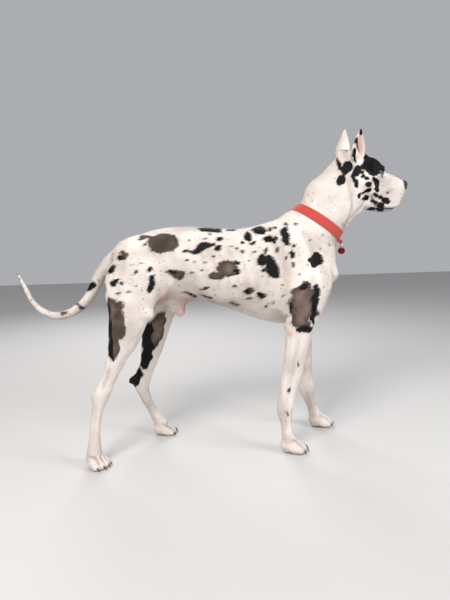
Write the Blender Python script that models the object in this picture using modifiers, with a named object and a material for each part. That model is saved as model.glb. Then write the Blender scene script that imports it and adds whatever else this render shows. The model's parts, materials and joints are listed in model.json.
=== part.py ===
"""A great dane standing square, life size, as a still model: flesh nodes, ears, eyes, nose, collar and tag.

Metres, +Z up. +X runs to the head, +Y to the dog's left, and the floor is Z = 0. The body is modelled
whole from named stations and muscles, fused, smoothed and then parted with thin flat cuts.
"""

from math import cos, pi, radians, sin, tau

import bmesh
import bpy
import numpy as np
from mathutils import Matrix, Vector
from mathutils.bvhtree import BVHTree

# Driving dimensions
WITHERS = 0.860
GAP = 0.0003
FUSE_VOXEL = 0.0042
BODY_TRIANGLES = 8200
RING_POINTS = 28

# The head has its own frame: its origin is the stop between the eyes, x along the bridge of the muzzle,
# y to the dog's left, z up from the bridge.
STOP = Vector((0.598, 0.025, 1.0385))
HEAD_TURN = radians(10)
HEAD_NOD = radians(20)
HEAD = Matrix.Translation(STOP) @ Matrix.Rotation(HEAD_TURN, 4, "Z") @ Matrix.Rotation(HEAD_NOD, 4, "Y")

# Trunk stations from the rump forwards: x, height of the back, height of the belly, half width.
TRUNK = {
    "rump_end": (-0.398, 0.712, 0.655, 0.036),
    "ischium": (-0.378, 0.745, 0.600, 0.070),
    "tail_root": (-0.345, 0.779, 0.565, 0.090),
    "croup": (-0.295, 0.809, 0.548, 0.100),
    "hip": (-0.230, 0.830, 0.552, 0.102),
    "loin_back": (-0.160, 0.839, 0.568, 0.090),
    "loin_front": (-0.085, 0.838, 0.566, 0.093),
    "last_rib": (-0.005, 0.830, 0.545, 0.110),
    "mid_rib": (0.070, 0.826, 0.515, 0.125),
    "deep_rib": (0.140, 0.836, 0.488, 0.131),
    "withers": (0.205, 0.853, 0.470, 0.126),
    "shoulder": (0.270, 0.855, 0.468, 0.114),
    "brisket": (0.335, 0.845, 0.484, 0.100),
    "fore_chest": (0.385, 0.825, 0.535, 0.084),
    "prosternum": (0.416, 0.795, 0.600, 0.062),
    "chest_end": (0.436, 0.755, 0.665, 0.034),
}

# Neck stations: x, y, z of the middle, half depth, half width.
NECK = {
    "root": (0.270, 0.000, 0.745, 0.120, 0.096),
    "base": (0.325, 0.000, 0.790, 0.118, 0.090),
    "collar": (0.385, 0.000, 0.857, 0.097, 0.075),
    "middle": (0.4200, 0.002, 0.9065, 0.101, 0.070),
    "upper": (0.4600, 0.004, 0.955, 0.101, 0.066),
    "nape": (0.500, 0.008, 0.997, 0.088, 0.060),
}

# Tail stations: x, y, z, radius.
TAIL = {
    "root": (-0.345, 0.000, 0.748, 0.036),
    "set": (-0.392, 0.000, 0.715, 0.031),
    "thick": (-0.433, 0.000, 0.668, 0.0245),
    "upper": (-0.454, 0.001, 0.628, 0.0215),
    "bend": (-0.477, 0.002, 0.590, 0.0195),
    "low": (-0.512, 0.004, 0.556, 0.0180),
    "lowest": (-0.556, 0.006, 0.532, 0.0165),
    "sweep": (-0.603, 0.008, 0.527, 0.0150),
    "rise": (-0.645, 0.010, 0.544, 0.0130),
    "up": (-0.677, 0.011, 0.577, 0.0115),
    "thin": (-0.697, 0.012, 0.620, 0.0100),
    "whip": (-0.714, 0.012, 0.662, 0.0080),
    "tip": (-0.729, 0.012, 0.694, 0.0050),
}

# Leg stations from the body to the pastern: x, y, z, half depth fore and aft, half width.
LEGS = {
    "fore_right": {
        "inside": (0.318, -0.052, 0.715, 0.026, 0.018),
        "shoulder_point": (0.350, -0.082, 0.642, 0.058, 0.040),
        "upper_arm": (0.310, -0.100, 0.565, 0.066, 0.046),
        "elbow": (0.279, -0.110, 0.490, 0.056, 0.041),
        "forearm_top": (0.268, -0.112, 0.420, 0.047, 0.037),
        "forearm": (0.254, -0.111, 0.334, 0.041, 0.032),
        "forearm_low": (0.234, -0.110, 0.245, 0.034, 0.0275),
        "carpus": (0.223, -0.109, 0.188, 0.0335, 0.0305),
        "carpus_low": (0.220, -0.108, 0.155, 0.0290, 0.0285),
        "pastern": (0.2255, -0.106, 0.110, 0.0215, 0.0250),
        "pastern_low": (0.2300, -0.104, 0.070, 0.0240, 0.0280),
        "paw": (0.2400, -0.102, 0.036, 0.0300, 0.0300),
    },
    "fore_left": {
        "inside": (0.330, 0.052, 0.715, 0.026, 0.018),
        "shoulder_point": (0.366, 0.080, 0.642, 0.056, 0.040),
        "upper_arm": (0.350, 0.098, 0.565, 0.064, 0.046),
        "elbow": (0.333, 0.108, 0.490, 0.056, 0.041),
        "forearm_top": (0.334, 0.112, 0.420, 0.047, 0.037),
        "forearm": (0.341, 0.115, 0.334, 0.041, 0.032),
        "forearm_low": (0.349, 0.118, 0.245, 0.034, 0.0275),
        "carpus": (0.358, 0.119, 0.182, 0.0335, 0.0305),
        "carpus_low": (0.363, 0.120, 0.146, 0.0290, 0.0285),
        "pastern": (0.377, 0.121, 0.102, 0.0215, 0.0250),
        "pastern_low": (0.391, 0.122, 0.066, 0.0240, 0.0280),
        "paw": (0.405, 0.122, 0.036, 0.0300, 0.0300),
    },
    "hind_right": {
        "inside": (-0.270, -0.050, 0.755, 0.050, 0.026),
        "hip": (-0.285, -0.070, 0.700, 0.088, 0.048),
        "thigh": (-0.312, -0.092, 0.610, 0.092, 0.047),
        "stifle": (-0.326, -0.106, 0.535, 0.071, 0.043),
        "gaskin_top": (-0.345, -0.112, 0.460, 0.056, 0.036),
        "gaskin": (-0.375, -0.114, 0.385, 0.035, 0.028),
        "gaskin_low": (-0.406, -0.115, 0.312, 0.0275, 0.0215),
        "hock": (-0.434, -0.116, 0.256, 0.0300, 0.0240),
        "hock_low": (-0.447, -0.117, 0.210, 0.0215, 0.0215),
        "metatarsus": (-0.459, -0.118, 0.150, 0.0195, 0.0195),
        "pastern": (-0.465, -0.119, 0.095, 0.0225, 0.0240),
        "paw": (-0.468, -0.121, 0.040, 0.0300, 0.0290),
    },
    "hind_left": {
        "inside": (-0.262, 0.050, 0.755, 0.050, 0.026),
        "hip": (-0.265, 0.070, 0.700, 0.088, 0.048),
        "thigh": (-0.255, 0.090, 0.610, 0.094, 0.047),
        "stifle": (-0.243, 0.104, 0.535, 0.080, 0.044),
        "gaskin_top": (-0.250, 0.112, 0.460, 0.062, 0.037),
        "gaskin": (-0.263, 0.117, 0.385, 0.047, 0.029),
        "gaskin_low": (-0.285, 0.120, 0.300, 0.034, 0.0225),
        "hock": (-0.3130, 0.122, 0.228, 0.0350, 0.0240),
        "hock_low": (-0.305, 0.124, 0.175, 0.0240, 0.0215),
        "metatarsus": (-0.285, 0.126, 0.124, 0.0195, 0.0195),
        "pastern": (-0.262, 0.128, 0.080, 0.0220, 0.0240),
        "paw": (-0.240, 0.130, 0.040, 0.0290, 0.0290),
    },
}

# Muscles and bony points: x, y, z, the three half axes, and the tilt of the first axis up from X in degrees.
# Those given for one side are mirrored in Y.
PAIRED_MASSES = {
    "gluteal": (-0.290, 0.060, 0.760, 0.095, 0.048, 0.052, 12),
    "hip_bone": (-0.185, 0.056, 0.796, 0.040, 0.028, 0.024, 0),
    "rib_side": (0.060, 0.060, 0.665, 0.175, 0.066, 0.120, -4),
    "shoulder_blade": (0.268, 0.076, 0.738, 0.104, 0.036, 0.058, -62),
    "breast": (0.388, 0.034, 0.660, 0.046, 0.036, 0.060, 70),
    "neck_side": (0.350, 0.048, 0.795, 0.092, 0.036, 0.066, 48),
}
SINGLE_MASSES = {
    "triceps_right": (0.282, -0.106, 0.585, 0.098, 0.038, 0.060, 52),
    "triceps_left": (0.315, 0.104, 0.585, 0.098, 0.038, 0.060, 52),
    "elbow_tip_right": (0.243, -0.114, 0.478, 0.026, 0.022, 0.030, 0),
    "elbow_tip_left": (0.300, 0.112, 0.478, 0.026, 0.022, 0.030, 0),
    "carpal_pad_right": (0.200, -0.109, 0.158, 0.014, 0.015, 0.015, 0),
    "carpal_pad_left": (0.344, 0.120, 0.150, 0.014, 0.015, 0.015, 0),
    "thigh_right": (-0.318, -0.094, 0.625, 0.090, 0.046, 0.120, 0),
    "thigh_left": (-0.272, 0.092, 0.625, 0.094, 0.046, 0.120, 0),
    "flank_right": (-0.215, -0.070, 0.640, 0.060, 0.030, 0.060, 40),
    "flank_left": (-0.190, 0.070, 0.635, 0.062, 0.032, 0.070, 40),
    "kneecap_right": (-0.272, -0.112, 0.545, 0.028, 0.028, 0.042, 70),
    "kneecap_left": (-0.182, 0.110, 0.535, 0.028, 0.028, 0.048, 65),
    "hock_point_right": (-0.452, -0.116, 0.262, 0.015, 0.015, 0.024, -65),
    "hock_point_left": (-0.347, 0.122, 0.240, 0.015, 0.015, 0.026, -50),
    "sheath": (-0.160, 0.000, 0.560, 0.060, 0.024, 0.030, 30),
    "sheath_end": (-0.150, 0.000, 0.528, 0.026, 0.017, 0.024, -20),
    "scrotum": (-0.305, 0.000, 0.560, 0.032, 0.030, 0.038, 0),
    "withers_hump": (0.215, 0.000, 0.822, 0.070, 0.036, 0.034, 6),
    "throat_fold": (0.516, 0.006, 0.880, 0.062, 0.036, 0.048, 44),
    "crest": (0.428, 0.003, 1.030, 0.062, 0.034, 0.042, 52),
    "crest_low": (0.354, 0.000, 0.954, 0.054, 0.034, 0.036, 52),
    "tail_head": (-0.352, 0.000, 0.742, 0.050, 0.042, 0.034, 35),
}

# Paws: middle of the toes' roots, direction of the toes in degrees from +X, and their size.
PAWS = {
    "fore_right": (0.2480, -0.101, -6, 1.00),
    "fore_left": (0.4140, 0.121, 4, 1.00),
    "hind_right": (-0.4620, -0.122, -38, 0.92),
    "hind_left": (-0.2330, 0.130, 6, 0.92),
}
# One paw at size 1, in its own frame with x to the toes: each toe's y, reach, half width, half height.
TOES = ((-0.0285, 0.020, 0.0130, 0.0170), (-0.0105, 0.032, 0.0140, 0.0195),
        (0.0105, 0.032, 0.0140, 0.0195), (0.0285, 0.020, 0.0130, 0.0170))
TOE_LENGTH = 0.026
CLAW_LENGTH = 0.017
CLAW_RADIUS = 0.0042

# Head masses in the head's frame: x, y, z, half axes, tilt of the first axis up from x in degrees.
SKULL_MASSES = {
    "cranium": (-0.082, 0.000, -0.028, 0.082, 0.054, 0.053, 0),
    "forehead": (-0.034, 0.000, -0.022, 0.048, 0.043, 0.042, 0),
    "occiput": (-0.146, 0.000, 0.000, 0.026, 0.018, 0.018, 0),
    "throat": (-0.050, 0.000, -0.120, 0.062, 0.044, 0.046, 20),
}
SKULL_PAIRS = {
    "brow": (-0.008, 0.031, -0.006, 0.021, 0.017, 0.013, 0),
    "cheek": (-0.066, 0.040, -0.082, 0.052, 0.026, 0.046, 12),
    "cheek_bone": (-0.040, 0.045, -0.044, 0.046, 0.014, 0.016, 0),
    "ear_root": (-0.122, 0.040, 0.000, 0.026, 0.022, 0.026, 0),
}
# Muzzle stations: x, height of the bridge, lip line, half width.
MUZZLE = {
    "inside": (-0.030, -0.006, -0.120, 0.040),
    "cheek": (0.005, -0.002, -0.137, 0.0425),
    "lip_corner": (0.040, 0.000, -0.144, 0.0415),
    "flew": (0.075, 0.000, -0.139, 0.0405),
    "flew_front": (0.105, -0.001, -0.127, 0.0390),
    "front": (0.128, -0.003, -0.110, 0.0350),
    "end": (0.141, -0.010, -0.086, 0.0240),
}
JAW = {
    "hinge": (-0.075, -0.100, -0.150, 0.030),
    "middle": (0.000, -0.110, -0.158, 0.030),
    "chin_root": (0.070, -0.108, -0.149, 0.026),
    "chin": (0.112, -0.100, -0.132, 0.021),
    "chin_end": (0.126, -0.102, -0.118, 0.010),
}
NOSE_MASSES = {
    "pad": (0.1330, 0.000, -0.0150, 0.0170, 0.0205, 0.0160, 0),
    "lobe_left": (0.1340, 0.0120, -0.0190, 0.0130, 0.0110, 0.0130, 0),
    "lobe_right": (0.1340, -0.0120, -0.0190, 0.0130, 0.0110, 0.0130, 0),
    "philtrum": (0.1360, 0.000, -0.0330, 0.0100, 0.0080, 0.0120, 0),
}
NOSTRIL = (0.1475, 0.0095, -0.0165)
NOSTRIL_AXES = (0.0090, 0.0034, 0.0042)

EYE = (-0.0100, 0.0385, -0.0290)
EYE_RADIUS = 0.0120
LID_THICKNESS = 0.0026
EYE_LOOK = 40
EYE_OPENING = (0.0250, 0.0135)

# The lip line from under the nose to the corner of the mouth, in the head's frame: x and z. It is cut as a
# groove into both cheeks.
LIP_LINE = ((0.139, -0.060), (0.137, -0.086), (0.128, -0.101), (0.106, -0.117), (0.075, -0.127),
            (0.042, -0.130), (0.020, -0.122), (0.008, -0.108))
LIP_GROOVE = 0.0022

# Each cropped ear: root and tip, its width along the way, the depth of its cup, and where the cup faces. The
# right one is held a little lower and further forward.
EARS = {
    "right": ((-0.1120, -0.0450, -0.0040), (-0.1310, -0.0520, 0.0920)),
    "left": ((-0.1200, 0.0430, 0.0000), (-0.1430, 0.0500, 0.1040)),
}
EAR_WIDTHS = (0.050, 0.056, 0.058, 0.055, 0.047, 0.035, 0.020, 0.006)
EAR_CUP = 0.36
EAR_WALL = 0.0048
EAR_FACING = 50
EAR_CUT = 0.034

COLLAR_MIDDLE = (0.370, 0.000, 0.843)
COLLAR_LEAN = radians(55.5)
COLLAR_WIDTH = 0.036
COLLAR_THICKNESS = 0.0032
COLLAR_CLEARANCE = 0.0010
COLLAR_POINTS = 48
TAB = (0.0125, 0.0080, 0.0200)
TAB_HOLE = 0.0042
RING_RADIUS = 0.0115
RING_WIRE = 0.0019
TAG_RADIUS = 0.0130
TAG_THICKNESS = 0.0016
TAG_HOLE = 0.0030
TAG_APART = 0.0034

# Smoothing of the fused body
SMOOTH_ROUNDS = 22
SOFTEN_ROUNDS = 44


def clear_scene():
    for thing in list(bpy.data.objects):
        bpy.data.objects.remove(thing, do_unlink=True)


def make_collection(name):
    made = bpy.data.collections.new(name)
    bpy.context.scene.collection.children.link(made)
    return made


def make_paint(name, colour, roughness, metallic=0.0):
    paint = bpy.data.materials.new(name)
    paint.use_nodes = True
    shader = paint.node_tree.nodes["Principled BSDF"]
    shader.inputs["Base Color"].default_value = (*colour, 1)
    shader.inputs["Roughness"].default_value = roughness
    shader.inputs["Metallic"].default_value = metallic
    return paint


def object_from(name, points, faces, collection):
    mesh = bpy.data.meshes.new(name)
    mesh.from_pydata([tuple(p) for p in points], [], faces)
    mesh.update()
    made = bpy.data.objects.new(name, mesh)
    collection.objects.link(made)
    return made


def between(rows, steps):
    """Rows on a Catmull-Rom curve through the given rows, with this many steps in each span."""
    rows = np.array(rows, float)
    padded = np.vstack([2 * rows[0] - rows[1], rows, 2 * rows[-1] - rows[-2]])
    found = []
    for i in range(len(rows) - 1):
        a, b, c, d = padded[i : i + 4]
        for t in np.arange(steps) / steps:
            found.append(
                0.5 * (2 * b + (c - a) * t + (2 * a - 5 * b + 4 * c - d) * t**2 + (3 * b - a - 3 * c + d) * t**3)
            )
    found.append(rows[-1])
    return np.array(found)


def loft(rings):
    """A closed surface through rings of equally many points, with a fan at each end."""
    rings = np.array(rings)
    count, around = rings.shape[:2]
    points = list(rings.reshape(-1, 3))
    points += [rings[0].mean(axis=0), rings[-1].mean(axis=0)]
    faces = []
    for i in range(count - 1):
        for j in range(around):
            k = (j + 1) % around
            faces.append((i * around + j, i * around + k, (i + 1) * around + k, (i + 1) * around + j))
    first = count * around
    last = (count - 1) * around
    for j in range(around):
        k = (j + 1) % around
        faces.append((first, k, j))
        faces.append((first + 1, last + j, last + k))
    return points, faces


def rounded(angle, square):
    """Cosine and sine of a superellipse, round at 2 and boxy above."""
    c = np.cos(angle)
    s = np.sin(angle)
    return np.sign(c) * np.abs(c) ** (2 / square), np.sign(s) * np.abs(s) ** (2 / square)


def upright_loft(rows, square, frame=None):
    """A form with upright cross-sections: rows of x, top, bottom, half width."""
    angle = np.arange(RING_POINTS) * tau / RING_POINTS
    c, s = rounded(angle, square)
    rings = []
    for x, top, bottom, half in between(rows, 4):
        ring = np.stack([np.full(RING_POINTS, x), half * c, (top + bottom) / 2 + (top - bottom) / 2 * s], 1)
        rings.append(ring)
    points, faces = loft(rings)
    if frame:
        points = [frame @ Vector(p) for p in points]
    return points, faces


def tube(rows, square=2.0):
    """A form along a curve: rows of x, y, z, half depth, half width. Depth lies in the dog's own plane."""
    angle = np.arange(RING_POINTS) * tau / RING_POINTS
    c, s = rounded(angle, square)
    rows = between(rows, 4)
    middles = rows[:, :3]
    along = np.gradient(middles, axis=0)
    along /= np.linalg.norm(along, axis=1, keepdims=True)
    rings = []
    for middle, t, (deep, wide) in zip(middles, along, rows[:, 3:5]):
        side = np.array([0.0, 1.0, 0.0]) - t[1] * t
        side /= np.linalg.norm(side)
        front = np.cross(side, t)
        rings.append(middle + np.outer(c * deep, front) + np.outer(s * wide, side))
    return loft(rings)


def ellipsoid(row, frame=None):
    x, y, z, a, b, c, tilt = row
    place = Matrix.Translation((x, y, z)) @ Matrix.Rotation(radians(-tilt), 4, "Y") @ Matrix.Diagonal((a, b, c, 1))
    if frame:
        place = frame @ place
    ball = bmesh.new()
    bmesh.ops.create_icosphere(ball, subdivisions=4, radius=1, matrix=place)
    points = [v.co.copy() for v in ball.verts]
    faces = [tuple(v.index for v in f.verts) for f in ball.faces]
    ball.free()
    return points, faces


def mirrored(row):
    return (row[0], -row[1], *row[2:])


def toe_frame(paw):
    x, y, turn, size = PAWS[paw]
    return Matrix.Translation((x, y, 0)) @ Matrix.Rotation(radians(turn), 4, "Z") @ Matrix.Scale(size, 4)


def paw_forms(paw):
    """Four toes of two rounded joints each, the arch behind them and the pad under it."""
    frame = toe_frame(paw)
    forms = []
    for y, reach, half, tall in TOES:
        spread = y * 1.12
        forms.append(ellipsoid((reach - 0.014, y, tall * 1.15, TOE_LENGTH, half, tall * 1.05, -24), frame))
        forms.append(ellipsoid((reach + 0.006, spread, tall * 0.82, TOE_LENGTH * 0.62, half, tall * 0.86, 0), frame))
    forms.append(ellipsoid((-0.012, 0, 0.030, 0.036, 0.033, 0.026, 0), frame))
    forms.append(ellipsoid((-0.014, 0, 0.012, 0.026, 0.026, 0.013, 0), frame))
    return forms


def flesh_forms():
    """Every overlapping form of the body and head, before they are fused."""
    forms = [upright_loft(list(TRUNK.values()), 2.15), tube(list(NECK.values()))]
    forms.append(tube([(*row, row[-1]) for row in TAIL.values()]))
    forms += [tube(list(leg.values())) for leg in LEGS.values()]
    forms += [ellipsoid(row) for row in SINGLE_MASSES.values()]
    for row in PAIRED_MASSES.values():
        forms += [ellipsoid(row), ellipsoid(mirrored(row))]
    for paw in PAWS:
        forms += paw_forms(paw)
    forms += [ellipsoid(row, HEAD) for row in {**SKULL_MASSES, **NOSE_MASSES}.values()]
    for row in SKULL_PAIRS.values():
        forms += [ellipsoid(row, HEAD), ellipsoid(mirrored(row), HEAD)]
    forms.append(upright_loft(list(MUZZLE.values()), 2.9, HEAD))
    forms.append(upright_loft(list(JAW.values()), 2.3, HEAD))
    return forms


def evaluated_mesh(thing):
    graph = bpy.context.evaluated_depsgraph_get()
    return bpy.data.meshes.new_from_object(thing.evaluated_get(graph))


def apply_modifiers(thing):
    old = thing.data
    thing.data = evaluated_mesh(thing)
    thing.modifiers.clear()
    bpy.data.meshes.remove(old)


def mesh_points(mesh):
    found = np.empty(len(mesh.vertices) * 3)
    mesh.vertices.foreach_get("co", found)
    return found.reshape(-1, 3)


def head_share(points):
    """1 on the head and 0 on the body, with a soft step across the top of the neck."""
    back = np.array(HEAD.inverted())
    local = points @ back[:3, :3].T + back[:3, 3]
    return np.clip((local[:, 0] + 0.15) / 0.04, 0, 1) * np.clip((local[:, 2] + 0.20) / 0.03, 0, 1)


def softness(points):
    """How far plain smoothing may act: fully on the trunk and thighs, hardly on legs, tail and head."""
    trunk = np.clip((points[:, 2] - 0.47) / 0.12, 0, 1) * np.clip((points[:, 0] + 0.43) / 0.05, 0, 1)
    return np.maximum(trunk * (1 - head_share(points)), 0.06)


def coarseness(points):
    """How freely each region may be thinned: the head and paws keep the most faces."""
    share = 0.86 - 0.30 * head_share(points)
    share[points[:, 2] < 0.075] = 0.68
    share[points[:, 0] < TAIL["set"][0] - 0.02] -= 0.12
    return share


def smooth(mesh):
    """Rounds the seams between fused forms. Each second pass swells again by what the first one shrank."""
    points = mesh_points(mesh)
    ends = np.empty(len(mesh.edges) * 2, np.int64)
    mesh.edges.foreach_get("vertices", ends)
    one, two = ends.reshape(-1, 2).T
    count = np.bincount(ends, minlength=len(points))[:, None]

    def pull(strength):
        total = np.zeros_like(points)
        for axis in range(3):
            total[:, axis] = np.bincount(one, points[two, axis], len(points))
            total[:, axis] += np.bincount(two, points[one, axis], len(points))
        points[:] += strength * (total / count - points)

    soft = softness(points)[:, None]
    for _ in range(SOFTEN_ROUNDS):
        pull(0.5 * soft)
    for _ in range(SMOOTH_ROUNDS):
        pull(0.50)
        pull(-0.52)
    mesh.vertices.foreach_set("co", points.ravel())
    mesh.update()


def fuse_flesh(collection):
    points = []
    faces = []
    for some_points, some_faces in flesh_forms():
        start = len(points)
        points += list(some_points)
        faces += [tuple(start + i for i in face) for face in some_faces]
    whole = object_from("whole_dog", points, faces, collection)
    fuse = whole.modifiers.new("fuse", "REMESH")
    fuse.mode = "VOXEL"
    fuse.voxel_size = FUSE_VOXEL
    apply_modifiers(whole)
    smooth(whole.data)
    keep = whole.vertex_groups.new(name="coarse")
    share = coarseness(mesh_points(whole.data))
    for index, weight in enumerate(share):
        keep.add([index], float(weight), "REPLACE")
    thin = whole.modifiers.new("thin_out", "DECIMATE")
    thin.vertex_group = keep.name
    thin.ratio = BODY_TRIANGLES / (2 * len(whole.data.polygons))
    apply_modifiers(whole)
    whole.vertex_groups.clear()
    level_feet(whole.data)
    return whole


def level_feet(mesh):
    """Cuts everything flat at the floor, so that each paw stands on a level pad."""
    shape = bmesh.new()
    shape.from_mesh(mesh)
    everything = shape.verts[:] + shape.edges[:] + shape.faces[:]
    bmesh.ops.bisect_plane(shape, geom=everything, plane_co=(0, 0, 0), plane_no=(0, 0, 1), clear_inner=True)
    rims = [edge for edge in shape.edges if edge.is_boundary]
    bmesh.ops.holes_fill(shape, edges=rims, sides=0)
    bmesh.ops.triangulate(shape, faces=[face for face in shape.faces if len(face.verts) > 4])
    shape.to_mesh(mesh)
    shape.free()


def box_cutter(name, low, high, frame, collection, grow=0.0):
    """A block between two corners of a frame, for cutting a node free."""
    low = Vector(low) - Vector((grow, grow, grow))
    high = Vector(high) + Vector((grow, grow, grow))
    size = high - low
    block = bmesh.new()
    place = frame @ Matrix.Translation((low + high) / 2) @ Matrix.Diagonal((*size, 1))
    bmesh.ops.create_cube(block, size=1, matrix=place)
    mesh = bpy.data.meshes.new(name)
    block.to_mesh(mesh)
    block.free()
    made = bpy.data.objects.new(name, mesh)
    made.hide_render = True
    made.display_type = "WIRE"
    collection.objects.link(made)
    return made


def combine(thing, tool, operation, solver="MANIFOLD"):
    step = thing.modifiers.new(operation.lower(), "BOOLEAN")
    step.operation = operation
    step.object = tool
    step.solver = solver
    apply_modifiers(thing)


def largest_surface(mesh):
    """Keeps the biggest closed surface, which fills a sealed hollow and drops loose scraps."""
    shape = bmesh.new()
    shape.from_mesh(mesh)
    shape.verts.ensure_lookup_table()
    left = set(range(len(shape.verts)))
    groups = []
    while left:
        stack = [left.pop()]
        group = set(stack)
        while stack:
            for edge in shape.verts[stack.pop()].link_edges:
                for vert in edge.verts:
                    if vert.index in left:
                        left.discard(vert.index)
                        group.add(vert.index)
                        stack.append(vert.index)
        groups.append(group)
    biggest = max(groups, key=len)
    spare = [vert for vert in shape.verts if vert.index not in biggest]
    bmesh.ops.delete(shape, geom=spare, context="VERTS")
    shape.to_mesh(mesh)
    shape.free()


def cut_free(whole, name, low, high, frame, parts, tools):
    """Takes the flesh inside a block out of the whole as its own node, with a thin gap round it."""
    node = whole.copy()
    node.data = whole.data.copy()
    node.name = name
    parts.objects.link(node)
    inner = box_cutter(name + "_inside", low, high, frame, tools)
    outer = box_cutter(name + "_outside", low, high, frame, tools, GAP)
    combine(node, inner, "INTERSECT")
    combine(whole, outer, "DIFFERENCE")
    largest_surface(node.data)
    largest_surface(whole.data)
    for tool in (inner, outer):
        bpy.data.objects.remove(tool, do_unlink=True)
    return node


def tilted(x, y, z, pitch=0, turn=0):
    return (
        Matrix.Translation((x, y, z)) @ Matrix.Rotation(radians(turn), 4, "Z") @ Matrix.Rotation(radians(-pitch), 4, "Y")
    )


def part_body(whole, parts, tools):
    """Divides the body where a person would name its parts."""
    far = 0.6
    nodes = {}
    for side, y in (("right", -1), ("left", 1)):
        low_y, high_y = sorted((0.028 * y, far * y))
        paw = LEGS["fore_" + side]["paw"]
        frame = tilted(paw[0], 0, 0.062)
        nodes["fore_paw_" + side] = ((-0.10, low_y, -0.2), (0.14, high_y, 0), frame)
        elbow = LEGS["fore_" + side]["elbow"]
        frame = tilted(elbow[0], 0, 0.462)
        nodes["fore_leg_" + side] = ((-0.14, low_y, -0.5), (0.16, high_y, 0), frame)
        paw = LEGS["hind_" + side]["paw"]
        frame = tilted(paw[0], 0, 0.068)
        nodes["hind_paw_" + side] = ((-0.11, low_y, -0.2), (0.12, high_y, 0), frame)
        gaskin = LEGS["hind_" + side]["gaskin_top"]
        frame = tilted(gaskin[0], 0, 0.440)
        nodes["hind_leg_" + side] = ((-0.16, low_y, -0.5), (0.14, high_y, 0), frame)
        frame = tilted(-0.28, 0, 0.600, pitch=-8)
        low_y, high_y = sorted((0.034 * y, far * y))
        front = 0.105 if side == "right" else 0.160
        nodes["thigh_" + side] = ((-0.20, low_y, -0.25), (front, high_y, 0), frame)
    made = {}
    for name, (low, high, frame) in nodes.items():
        made[name] = cut_free(whole, name, low, high, frame, parts, tools)
    bend = TAIL["bend"]
    sweep = TAIL["sweep"]
    root = TAIL["set"]
    frame = tilted(sweep[0], 0, sweep[2], pitch=-6)
    made["tail_tip"] = cut_free(whole, "tail_tip", (-far, -far, -far), (0, far, far), frame, parts, tools)
    frame = tilted(bend[0], 0, bend[2], pitch=52)
    made["tail_middle"] = cut_free(whole, "tail_middle", (-far, -far, -far), (0, far, far), frame, parts, tools)
    frame = tilted(root[0] - 0.022, 0, root[2], pitch=12)
    made["tail_root"] = cut_free(whole, "tail_root", (-far, -far, -far), (0, far, far), frame, parts, tools)
    frame = tilted(NECK["nape"][0] - 0.020, 0, NECK["nape"][2], pitch=20)
    made["head"] = cut_free(whole, "head", (0, -far, -far), (far, far, far), frame, parts, tools)
    base = NECK["base"]
    frame = tilted(base[0] + 0.012, 0, base[2], pitch=48)
    made["neck"] = cut_free(whole, "neck", (0, -far, -far), (far, far, far), frame, parts, tools)
    whole.name = "torso"
    tools.objects.unlink(whole)
    parts.objects.link(whole)
    made["torso"] = whole
    return made


def ball_tool(name, row, frame, collection, fineness=2):
    x, y, z, a, b, c = row
    place = frame @ Matrix.Translation((x, y, z)) @ Matrix.Diagonal((a, b, c, 1))
    ball = bmesh.new()
    bmesh.ops.create_icosphere(ball, subdivisions=fineness, radius=1, matrix=place)
    mesh = bpy.data.meshes.new(name)
    ball.to_mesh(mesh)
    ball.free()
    made = bpy.data.objects.new(name, mesh)
    collection.objects.link(made)
    return made


def use_tool(thing, tool, operation):
    combine(thing, tool, operation)
    bpy.data.objects.remove(tool, do_unlink=True)


def almond_tool(y_sign, tools):
    """A lens-shaped bar along the eye's look, which opens the lids."""
    turn = Matrix.Rotation(radians(EYE_LOOK * y_sign), 4, "Z")
    place = HEAD @ Matrix.Translation((EYE[0], EYE[1] * y_sign, EYE[2])) @ turn
    wide, tall = EYE_OPENING
    rings = []
    for reach in (0.004, 0.040):
        ring = []
        for angle in np.arange(16) * tau / 16:
            lens = (1 - cos(angle) ** 2) ** 0.75 * (1 if sin(angle) > 0 else -1)
            ring.append(place @ Vector((reach, -cos(angle) * wide / 2, lens * tall / 2)))
        rings.append([tuple(point) for point in ring])
    points, faces = loft(rings)
    tool = object_from("almond", points, faces, tools)
    return tool


def add_eye(head, side, y_sign, parts, tools):
    middle = (EYE[0], EYE[1] * y_sign, EYE[2])
    lid = EYE_RADIUS + LID_THICKNESS
    socket = EYE_RADIUS + GAP
    use_tool(head, ball_tool("lid", (*middle, lid, lid, lid), HEAD, tools), "UNION")
    tool = almond_tool(y_sign, tools)
    face_out(tool.data)
    use_tool(head, tool, "DIFFERENCE")
    use_tool(head, ball_tool("socket", (*middle, socket, socket, socket), HEAD, tools), "DIFFERENCE")
    return ball_tool("eye_" + side, (*middle, EYE_RADIUS, EYE_RADIUS, EYE_RADIUS), HEAD, parts)


def face_out(mesh):
    shape = bmesh.new()
    shape.from_mesh(mesh)
    bmesh.ops.recalc_face_normals(shape, faces=shape.faces)
    shape.to_mesh(mesh)
    shape.free()


def ear_shape(side, y_sign):
    """A cropped ear: crescent sections from a root inside the skull to the tip, open to the front and side."""
    root, tip = np.array(EARS[side])
    facing = radians(EAR_FACING) * y_sign
    face = np.array([cos(facing), sin(facing), 0])
    across = np.array([-sin(facing), cos(facing), 0])
    angles = np.radians(np.linspace(-105, 105, 8))
    rings = []
    for i, width in enumerate(EAR_WIDTHS):
        share = i / (len(EAR_WIDTHS) - 1)
        middle = root + (tip - root) * share
        wall = min(EAR_WALL, width * 0.42)
        half = width / 2
        deep = max(width * EAR_CUP, wall + 0.0006)
        outer = [middle + across * half * sin(a) - face * deep * cos(a) for a in angles]
        inner = [middle + across * (half - wall) * sin(a) - face * (deep - wall) * cos(a) for a in angles[::-1]]
        rings.append(outer + inner)
    points, faces = loft(rings)
    return [HEAD @ Vector(point) for point in points], faces


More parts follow.
